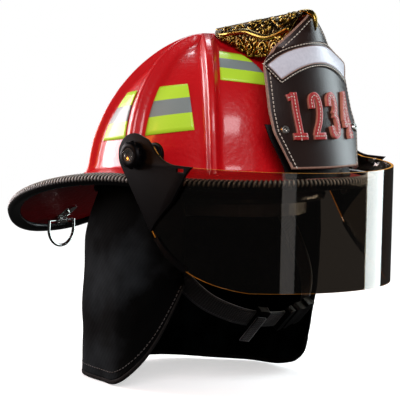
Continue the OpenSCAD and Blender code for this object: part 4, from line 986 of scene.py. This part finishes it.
bent = placed_grid(240, 24, lens_place)
bmesh.ops.remove_doubles(bent, verts=bent.verts, dist=0.01)
bent.normal_update()
if sum(face.normal.y for face in bent.faces) > 0:
    bmesh.ops.reverse_faces(bent, faces=bent.faces)
lens = make_piece(bent, "bent_lens", lens_smoke, body="visor")
lens.data.materials.append(lens_amber)
change(lens, "lens_wall", "SOLIDIFY", thickness=0.0024, offset=-1, material_offset_rim=1)
change(
    lens, "lens_edge", "BEVEL", width=0.0003, segments=2,
    limit_method="ANGLE", angle_limit=radians(50), harden_normals=True,
)
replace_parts(lens, "visor_lens")

# Side plates, rivets and edge clips: plates stamped from nylon sheet and riveted to the lens; a
# folded rubber clip guards the lens's rear lower edge.
# Black nylon: a flat, deep black with a spark-eroded grain 0.9 mm across
nylon_black, tree, surface, place = finish_of(
    "nylon_moulded_black", Base_Color="#040405", Roughness=0.4, Specular_IOR_Level=0.08
)
spark = add(tree, "TexNoise", {"Vector": place, "Scale": 1100, "Detail": 2})
add(tree, "Bump", {"Height": spark, "Strength": 0.2, "Distance": 0.0004}, surface["Normal"])
plate_high, plate_edge_round, plate_x, stud_hole = 2.4, 0.5, 131.4, 5
plate_edge = pivot_arc(19, range(-37, 113, 6)) + [Vector((-56, 33.5)), Vector((-61, 29))]
plate_edge += pulled((-61, 29), (-70, 15), (-88, 13.2), 7, first=1)
plate_edge += [
    Vector(p) for p in ((-109.7, 12.7), (-106, 9.6), (-101.9, 5), (-87, -18.6), (-73.2, -32.6),
                        (-66, -41), (-62, -47))
]
plate_hole = [
    Vector((pivot_y + stud_hole * cos(2 * pi * i / 32), pivot_z + stud_hole * sin(2 * pi * i / 32)))
    for i in range(32)
]
plate_slot = [Vector((-95.5 + x, 9 + z)) for x, z in ((-4, -1.5), (4, -1.5), (4, 1.5), (-4, 1.5))]


def stamped(name, lines, thick, edge):
    """A flat plate with rounded edges, cut to its first line and pierced by the others."""
    drawn = bpy.data.curves.new(name, "CURVE")
    drawn.dimensions, drawn.fill_mode = "2D", "BOTH"
    drawn.extrude, drawn.bevel_depth, drawn.bevel_resolution = thick / 2 - edge, edge, 2
    drawn.offset = -edge
    for line in lines:
        spline = drawn.splines.new("POLY")
        spline.points.add(len(line) - 1)
        for point, p in zip(spline.points, line):
            point.co = (p.x, p.y, 0, 1)
        spline.use_cyclic_u = True
    holder = bpy.data.objects.new(name, drawn)
    flat = bmesh.new()
    flat.from_mesh(holder.to_mesh())
    holder.to_mesh_clear()
    bpy.data.objects.remove(holder)
    return closed(flat)


for s, side in ((-1, "right"), (1, "left")):
    flat = stamped(
        "side_plate", [plate_edge, plate_hole, plate_slot], plate_high, plate_edge_round
    )
    for corner in flat.verts:
        corner.co = (s * (corner.co.z + plate_x), corner.co.x, corner.co.y)
    bmesh.ops.recalc_face_normals(flat, faces=flat.faces)
    plate = make_piece(flat, f"side_plate_{side}", nylon_black, body="visor", sharp=35)
    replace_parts(plate, f"visor_plate_{side}")
copy_of("visor_rivets", "lens_rivets", steel_zinc, body="visor", rounded=0.25)
copy_of("lens_clips", "edge_guards", rubber_black, body="visor", sharp=30)

# Tension knobs: fluted black nylon on a threaded stud, with a bright ring pressed into the face.
# Each is screwed down on its washer by hand, and sets how stiffly the lens swings.
# Bright nickel on steel: nearly a mirror, with polishing swirls 1.7 mm across
nickel, tree, surface, place = finish_of(
    "steel_nickel_bright", Base_Color="#d9d8d4", Metallic=1.0, Roughness=0.14
)
swirl = add(tree, "TexNoise", {"Vector": place, "Scale": 600})
add(tree, "Bump", {"Height": swirl, "Strength": 0.06, "Distance": 0.0004}, surface["Normal"])
for side in ("right", "left"):
    turning = f"knob_{side}"
    knob = copy_of(f"tension_knob_{side}", f"fluted_knob_{side}", nylon_black, turning, rounded=0.4)
    ring = copy_of(f"knob_ring_{side}", f"bright_ring_{side}", nickel, turning, rounded=0.25)

# Impact cap: expanded polypropylene, steam moulded in one piece and pushed up under the dome,
# where it takes the blow.
# Bead foam: dull charcoal, its beads 4 mm cells, darker and deeper between them
foam_bead, tree, surface, place = finish_of("foam_expanded_bead", Roughness=0.75)
beads = add(tree, "TexVoronoi", {"Vector": place, "Scale": 250})
add(tree, "Mix", {0: beads, 6: "#46464a", 7: "#26262a"}, surface["Base Color"], data_type="RGBA")
add(tree, "Bump", {"Height": beads, "Strength": 0.5, "Distance": 0.001}, surface["Normal"])
copy_of("impact_cap", "foam_cap", foam_bead, sharp=40)

# Liner rim: moulded edging under the foot of the dome, which the flap snaps to. It is cut down
# where the shell's fold is lower, so that it doesn't come through.
# ABS: a glossy black, its gloss bent by sink marks 17 mm across
gloss_black, tree, surface, place = finish_of(
    "abs_gloss_black", Base_Color="#0d0d0f", Roughness=0.12
)
sink = add(tree, "TexNoise", {"Vector": place, "Scale": 60})
add(tree, "Bump", {"Height": sink, "Strength": 0.1, "Distance": 0.001}, surface["Normal"])
liner_rim = copy_of("liner_rim", "moulded_rim", gloss_black, sharp=60)
for corner in liner_rim.data.vertices:
    a = degrees(atan2(-corner.co.x, -corner.co.y))
    corner.co.z = min(corner.co.z, 0.001 * (foot_height(a) - 4))

# Headband and keys: a strip that dips at the nape, and the keys that hang it and the crown
# straps from the cap.
# Moulded polyethylene: dark grey, waxy and half matt, with a haze 2 mm across
band_black, tree, surface, place = finish_of(
    "polyethylene_black", Base_Color="#29292c", Roughness=0.45
)
haze = add(tree, "TexNoise", {"Vector": place, "Scale": 500, "Detail": 2})
add(tree, "Bump", {"Height": haze, "Strength": 0.2, "Distance": 0.0005}, surface["Normal"])
copy_of("headband", "head_strip", band_black, rounded=0.3)
copy_of("hanger_keys", "strap_keys", band_black, rounded=0.3)

# Crown straps: three runs of nylon webbing 20 mm wide that cross over the head, their ends
# held in the keys.
# Woven nylon: black with a soft sheen; its ribs, 2.4 mm apart, and its warps, 2 mm apart, are
# drawn twice as coarse as real so that they show
webbing, tree, surface, place = finish_of("webbing_nylon_black", Roughness=0.7, Sheen_Weight=0.3)
cloth = add(tree, "UVMap", uv_map="sheet")
ribs = {"Vector": cloth, "Scale": 130, "Distortion": 0.4}
ribs = add(tree, "TexWave", ribs, bands_direction="Y").outputs["Fac"]
warps = {"Vector": cloth, "Scale": 160}
warps = add(tree, "TexWave", warps, bands_direction="X").outputs["Fac"]
woven = add(tree, "Math", {0: ribs, 1: warps}, operation="MULTIPLY")
add(tree, "Mix", {0: woven, 6: "#0e0e10", 7: "#2f2f33"}, surface["Base Color"], data_type="RGBA")
add(tree, "Bump", {"Height": woven, "Strength": 0.6, "Distance": 0.0006}, surface["Normal"])
band_side, band_front, head_middle, strap_wide = 75, 92, -12, 20


def band_reach(a, grow):
    return reach(a, band_side + grow, band_front + grow, band_front + grow, 2)


def length_of(points):
    return sum((q - p).length for p, q in zip(points, points[1:]))


def webbing_piece(name, place, width, steps, run, thick):
    """A woven strip of an even width along a place function, run being its length in mm."""
    strip = placed_grid(6, steps, place, (width * 0.001, run * 0.001))
    piece = make_piece(strip, name, webbing)
    change(piece, "webbing_wall", "SOLIDIFY", thickness=thick * 0.001, offset=0)
    return piece


for order, turn in enumerate((90, 30, 150)):
    r = band_reach(turn, 1.8) + 0.7 - 0.75
    rise = 58 + 1.6 * order - 0.75
    way = radians(90 - turn)

    def strap_place(u, v):
        climb = pi * v
        flat, side = r * cos(climb), (u - 0.5) * strap_wide
        x, y = flat * cos(way) + side * sin(way), flat * sin(way) - side * cos(way)
        return Vector((x, head_middle + y, -5 + rise * sin(climb)))

    run = length_of([strap_place(0.5, i / 60) for i in range(61)])
    strap = webbing_piece(f"crown_strap_{order}", strap_place, strap_wide, 60, run, 1.5)
    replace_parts(strap, "crown_straps")

# Pads: quilted cloth over soft foam, one on top of the head under the straps and one at the nape;
# the brow pad is leather over the same foam, sewn in sections.
# Brushed cloth: black, soft and very matt, with a knit 1.1 mm across
cloth_pad, tree, surface, place = finish_of(
    "cloth_brushed_black", Roughness=0.85, Sheen_Weight=0.5
)
knit = add(tree, "TexVoronoi", {"Vector": place, "Scale": 900})
add(tree, "Mix", {0: knit, 6: "#38383b", 7: "#1a1a1c"}, surface["Base Color"], data_type="RGBA")
add(tree, "Bump", {"Height": knit, "Strength": 0.5, "Distance": 0.0006}, surface["Normal"])
# Sueded hide: brown, matt and mottled by its nap, 1.5 mm across
hide_brow, tree, surface, place = finish_of("hide_sueded_brown", Roughness=0.7)
nap = add(tree, "TexNoise", {"Vector": place, "Scale": 650, "Detail": 4})
add(tree, "Mix", {0: nap, 6: "#35271d", 7: "#665040"}, surface["Base Color"], data_type="RGBA")
add(tree, "Bump", {"Height": nap, "Strength": 0.4, "Distance": 0.0008}, surface["Normal"])
pad_profile = [
    Vector((r, 0, z))
    for r, z in ((0.01, -3.8), (11, -5.2), (22, -6.8), (31, -8.2), (33.6, -6.8), (32, -4.8),
                 (22, -2.7), (11, 0.6), (0.01, 2.2))
]


def crown_pad_place(u, v):
    """Point of the round pad, its profile turned about the head's axis and sewn in six channels."""
    p = along(pad_profile, v * (len(pad_profile) - 1))
    turn = 2 * pi * u
    channel = abs(sin(3 * turn)) ** 0.3 * min(1, p.x / 12)
    over = -1.1 * (1 - channel) * (1 if v > 0.55 else -1) * min(1, p.x / 12)
    return Vector((p.x * cos(turn), head_middle + p.x * sin(turn), 48.5 + p.z + over))


crown_pad = closed(placed_grid(96, 40, crown_pad_place), 0.03)
crown_cushion = make_piece(crown_pad, "crown_cushion", cloth_pad)
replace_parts(crown_cushion, "crown_pad")


def band_dip(a):
    """How far the band hangs lower towards the nape."""
    t = max(0, min(1, (abs(a) - 100) / 55))
    return 22 * t * t * (3 - 2 * t)


def band_cushion(name, finish, start, stop, inner, outer, low, high, cells, node):
    """A crowned pad along the inside of the band, pinched where its seams are."""

    def place(u, v):
        a = mix(start, stop, v)
        end = min(1, min(v, 1 - v) / 0.025)
        end = max(0.02, 1 - (1 - end) ** 2) ** 0.5
        past_seam = (v * cells) % 1
        seam = 1 - 0.35 * max(0, 1 - min(past_seam, 1 - past_seam) / 0.07)
        turn = 2 * pi * u
        thick = (outer - inner) / 2 * copysign(abs(cos(turn)) ** 0.75, cos(turn)) * end
        thick = thick * seam if cos(turn) < 0 else thick
        tall = (high - low) / 2 * copysign(abs(sin(turn)) ** 0.45, sin(turn)) * (0.9 + 0.1 * end)
        r = band_reach(a, (inner + outer) / 2 + thick)
        z = (low + high) / 2 + tall - band_dip(a if a < 180 else a - 360)
        return Vector((-sin(radians(a)) * r, head_middle - cos(radians(a)) * r, z))

    cushion = make_piece(closed(placed_grid(28, 12 * cells, place)), name, finish)
    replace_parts(cushion, node)
    return cushion


band_cushion("brow_cushion", hide_brow, -62, 62, -3.3, -0.4, -34, -8, 8, "brow_pad")
band_cushion("nape_cushion", cloth_pad, 157, 203, -5.4, -0.7, -37, -10, 3, "nape_pad")

# Ratchet: a two-part nylon housing over the band's toothed tails, with a ribbed knob and a
# pinion inside.
copy_of("ratchet_housing", "ratchet_case", nylon_black, rounded=0.6)
copy_of("ratchet_knob", "ribbed_knob", nylon_black, "ratchet", rounded=0.3)
# Natural nylon: an off-white that lets a little light in, clouded 2.5 mm across
nylon_white, tree, surface, place = finish_of(
    "nylon_natural", Base_Color="#d3d2cb", Roughness=0.4, Subsurface_Weight=0.2
)
cloud = add(tree, "TexNoise", {"Vector": place, "Scale": 400})
add(tree, "Bump", {"Height": cloud, "Strength": 0.1, "Distance": 0.0004}, surface["Normal"])
copy_of("ratchet_pinion", "toothed_pinion", nylon_white, body="ratchet")

# Ear flap: two layers of flame-proof cloth sewn round a thin wadding, hung from the rim by press
# studs. It falls in slow folds and has a double hem.
# Aramid twill: black and matt, lightened to grey in soft random patches that are painted sheen; its
# twill lines are drawn 4 mm apart, coarser than the real 0.5 mm so that they show
cloth_flap, tree, surface, place = finish_of(
    "cloth_aramid_black", Roughness=0.9, Specular_IOR_Level=0.03
)
twill = {"Vector": add(tree, "UVMap", uv_map="sheet"), "Scale": 100, "Distortion": 0.6}
twill = add(tree, "TexWave", twill, bands_direction="DIAGONAL").outputs["Fac"]
sheen_patches = add(tree, "TexNoise", {"Vector": place, "Scale": 17, "Detail": 6})
sheen_patches = add(tree, "MapRange", {"Value": sheen_patches, "From Min": 0.46, "From Max": 0.72})
# Painted sheen: the grey patches stand for soft highlights on the folds
add(tree, "Mix", {0: sheen_patches, 6: "#040505", 7: "#22272a"}, surface["Base Color"], data_type="RGBA")
add(tree, "Bump", {"Height": twill, "Strength": 0.12, "Distance": 0.0005}, surface["Normal"])
flap_reach, flap_top, flap_drop = 122, -10, 174


def flap_low(b):
    """Height of the hem at an angle from the back; it rises towards the ears."""
    t = max(0, (abs(b) - 78) / 44)
    rise = 0.54 * t**2.1 if b > 0 else 0.1 * t**2 + 0.34 * max(0, t - 0.6) ** 1.6
    return flap_top - flap_drop * (1 + 0.03 * sin(radians(min(90, abs(b) * 1.15))) - rise)


def flap_point(b, v, out):
    """Point of the cloth at an angle from the back, a share of the way down, and out from it."""
    a = 180 - b
    swell = 7 * sin(radians(min(90, 130 * v))) - 3 * v * v
    fold = 2.6 * v**1.2 * sin(radians(9 * b)) - 10 * v**1.5 * min(1, max(0, (-b - 85) / 22))
    tuck = 15 * max(0, cos(radians(b))) * max(0, 1 - 3.2 * v) ** 1.5 * min(1, 12 * v)
    r = dome_reach(a) - 2 + 5.9 + swell + fold - tuck + out
    return spot(a, r, mix(flap_top, flap_low(b), v))


def crease(b, down):
    """Small creases of the cloth, between -1 and 1 or so."""
    large = noise.noise(Vector((b * 0.045, down * 5, 0.7)))
    return large + 0.5 * noise.noise(Vector((b * 0.12, down * 9, 4)))


def flap_place(u, v):
    b, down = mix(flap_reach, -flap_reach, u), 1 - v
    p = flap_point(b, down, 0)
    return p + (flap_point(b, down, 1) - p) * (1.3 * crease(b, down) * min(1, down * 4))


wide = [length_of([flap_place(i / 180, v) for i in range(181)]) for v in (0.0, 0.25, 0.5, 1.0)]
tall = [length_of([flap_place(u, i / 60) for i in range(61)]) for u in (0.2, 0.25, 0.3, 0.5)]
flap_cut = (max(wide) * 0.001, max(tall) * 0.001)
flap_grid = placed_grid(180, 72, flap_place, flap_cut)
flap_area = sum(face.calc_area() for face in flap_grid.faces) * 1e-6
ear_flap = make_piece(flap_grid, "hung_flap", cloth_flap)
change(ear_flap, "flap_wall", "SOLIDIFY", thickness=0.0035, offset=0)
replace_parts(ear_flap, "ear_flap")

# Flap binding and studs: a folded tape sewn over the flap's lower edge, and black press studs.
# Cotton tape: matt charcoal, worn lighter in patches 8 mm across
tape_bound, tree, surface, place = finish_of(
    "tape_cotton_bound", Roughness=0.9, Specular_IOR_Level=0.05
)
bound = add(tree, "TexNoise", {"Vector": place, "Scale": 120, "Detail": 5})
add(tree, "Mix", {0: bound, 6: "#080808", 7: "#2a2827"}, surface["Base Color"], data_type="RGBA")
add(tree, "Bump", {"Height": bound, "Strength": 0.4, "Distance": 0.0008}, surface["Normal"])


def binding_place(u, v):
    b = mix(flap_reach, -flap_reach, v)
    p = flap_point(b, 1, 0)
    step = flap_point(b, 1, 1) - p
    p = p + step * 1.3 * crease(b, 1)
    turn = 2 * pi * u
    rise = -0.8 + 2.4 * copysign(abs(sin(turn)) ** 0.7, sin(turn))
    return p + step * (2.2 * copysign(abs(cos(turn)) ** 0.7, cos(turn))) + Vector((0, 0, rise))


flap_binding = make_piece(closed(placed_grid(12, 180, binding_place)), "bound_hem", tape_bound)
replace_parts(flap_binding, "flap_binding")
snaps = copy_of("flap_snaps", "press_studs", nylon_black, rounded=0.2)
# Spun thread: dull grey, its plies 0.45 mm apart
thread_grey, tree, surface, place = finish_of("thread_grey", Base_Color="#3a3836", Roughness=0.8)
ply = add(tree, "TexWave", {"Vector": place, "Scale": 700}).outputs["Fac"]
add(tree, "Bump", {"Height": ply, "Strength": 0.3, "Distance": 0.0003}, surface["Normal"])
hem_line = []
for i in range(241):
    b = mix(121, -121, i / 240)
    out = flap_point(b, 0.955, 1) - flap_point(b, 0.955, 0)
    hem_line.append((flap_place((122 - b) / 244, 0.045) + out * 1.85, out))
hem_thread = stitches("hem_stitches", hem_line, 4.2, 2.8, 0.8, 0.5, thread_grey)

# Chin strap: nylon webbing 19 mm wide from rim to rim under the chin, with a quick-release
# buckle, a slide and the loose end of the webbing below it.
chin_wide, tail_wide, tail_long = 19, 10, 32
chin_route = [
    Vector(p)
    for p in (
        (-88.6, -8, -17), (-87.4, -22, -50), (-80, -42, -84), (-64, -62, -110), (-40, -78, -124),
        (-14, -86, -130), (14, -88, -131), (42, -84, -127), (62, -76, -114), (76, -62, -92),
        (85, -36, -58), (87.9, -8, -17),
    )
]


def chin_frame(s):
    """Middle of the webbing, with its side, its way along and the way that its face looks."""
    last = len(chin_route) - 1
    p = along(chin_route, s)
    way = along(chin_route, min(last, s + 0.05)) - along(chin_route, max(0, s - 0.05))
    way = way.normalized()
    out = Vector((p.x, p.y + 20, (p.z + 60) * 0.9))
    out = (out - way * out.dot(way)).normalized()
    return p, way.cross(out), way, out


def chin_run(name, start, stop, steps):
    def place(u, v):
        p, side, _, _ = chin_frame(mix(start, stop, v))
        return p + side * (u - 0.5) * chin_wide

    run = length_of([chin_frame(mix(start, stop, i / 200))[0] for i in range(201)])
    strap = webbing_piece(name, place, chin_wide, steps, run, 1.8)
    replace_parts(strap, "chin_strap")
    return strap


chin_run("chin_strap_long", 0.0, 5.9, 90)
chin_run("chin_strap_short", 7.56, 11.0, 60)
tail_p, tail_side, tail_way, tail_out = chin_frame(4.9)


def tail_place(u, v):
    """Point of the loose end, which lies flat on the outside of the strap."""
    down, across = -6 + tail_long * v, tail_wide * (u - 0.5)
    return tail_p + tail_side * down + tail_way * across + tail_out * 4.2


tail = webbing_piece("strap_end", tail_place, tail_wide, 16, tail_long, 1.8)
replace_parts(tail, "chin_tail")
copy_of("buckle_socket", "socket_buckle", nylon_black, rounded=0.5)
copy_of("buckle_tongue", "tongue_buckle", nylon_black, rounded=0.5)
copy_of("strap_slide", "slide_buckle", nylon_black, rounded=0.4)
copy_of("strap_anchors", "anchor_plates", steel_zinc, rounded=0.25)

# Hanging ring: a bright steel D of 3 mm wire in a folded strip clip, riveted through the tail of
# the brim so that the helmet hangs upside down on a hook.
copy_of("ring_clip", "folded_clip", nickel, rounded=0.3)
copy_of("ring_rivets", "tail_rivets", nickel, rounded=0.3)
copy_of("hanging_ring", "wire_ring", nickel, body="ring", sharp=60)
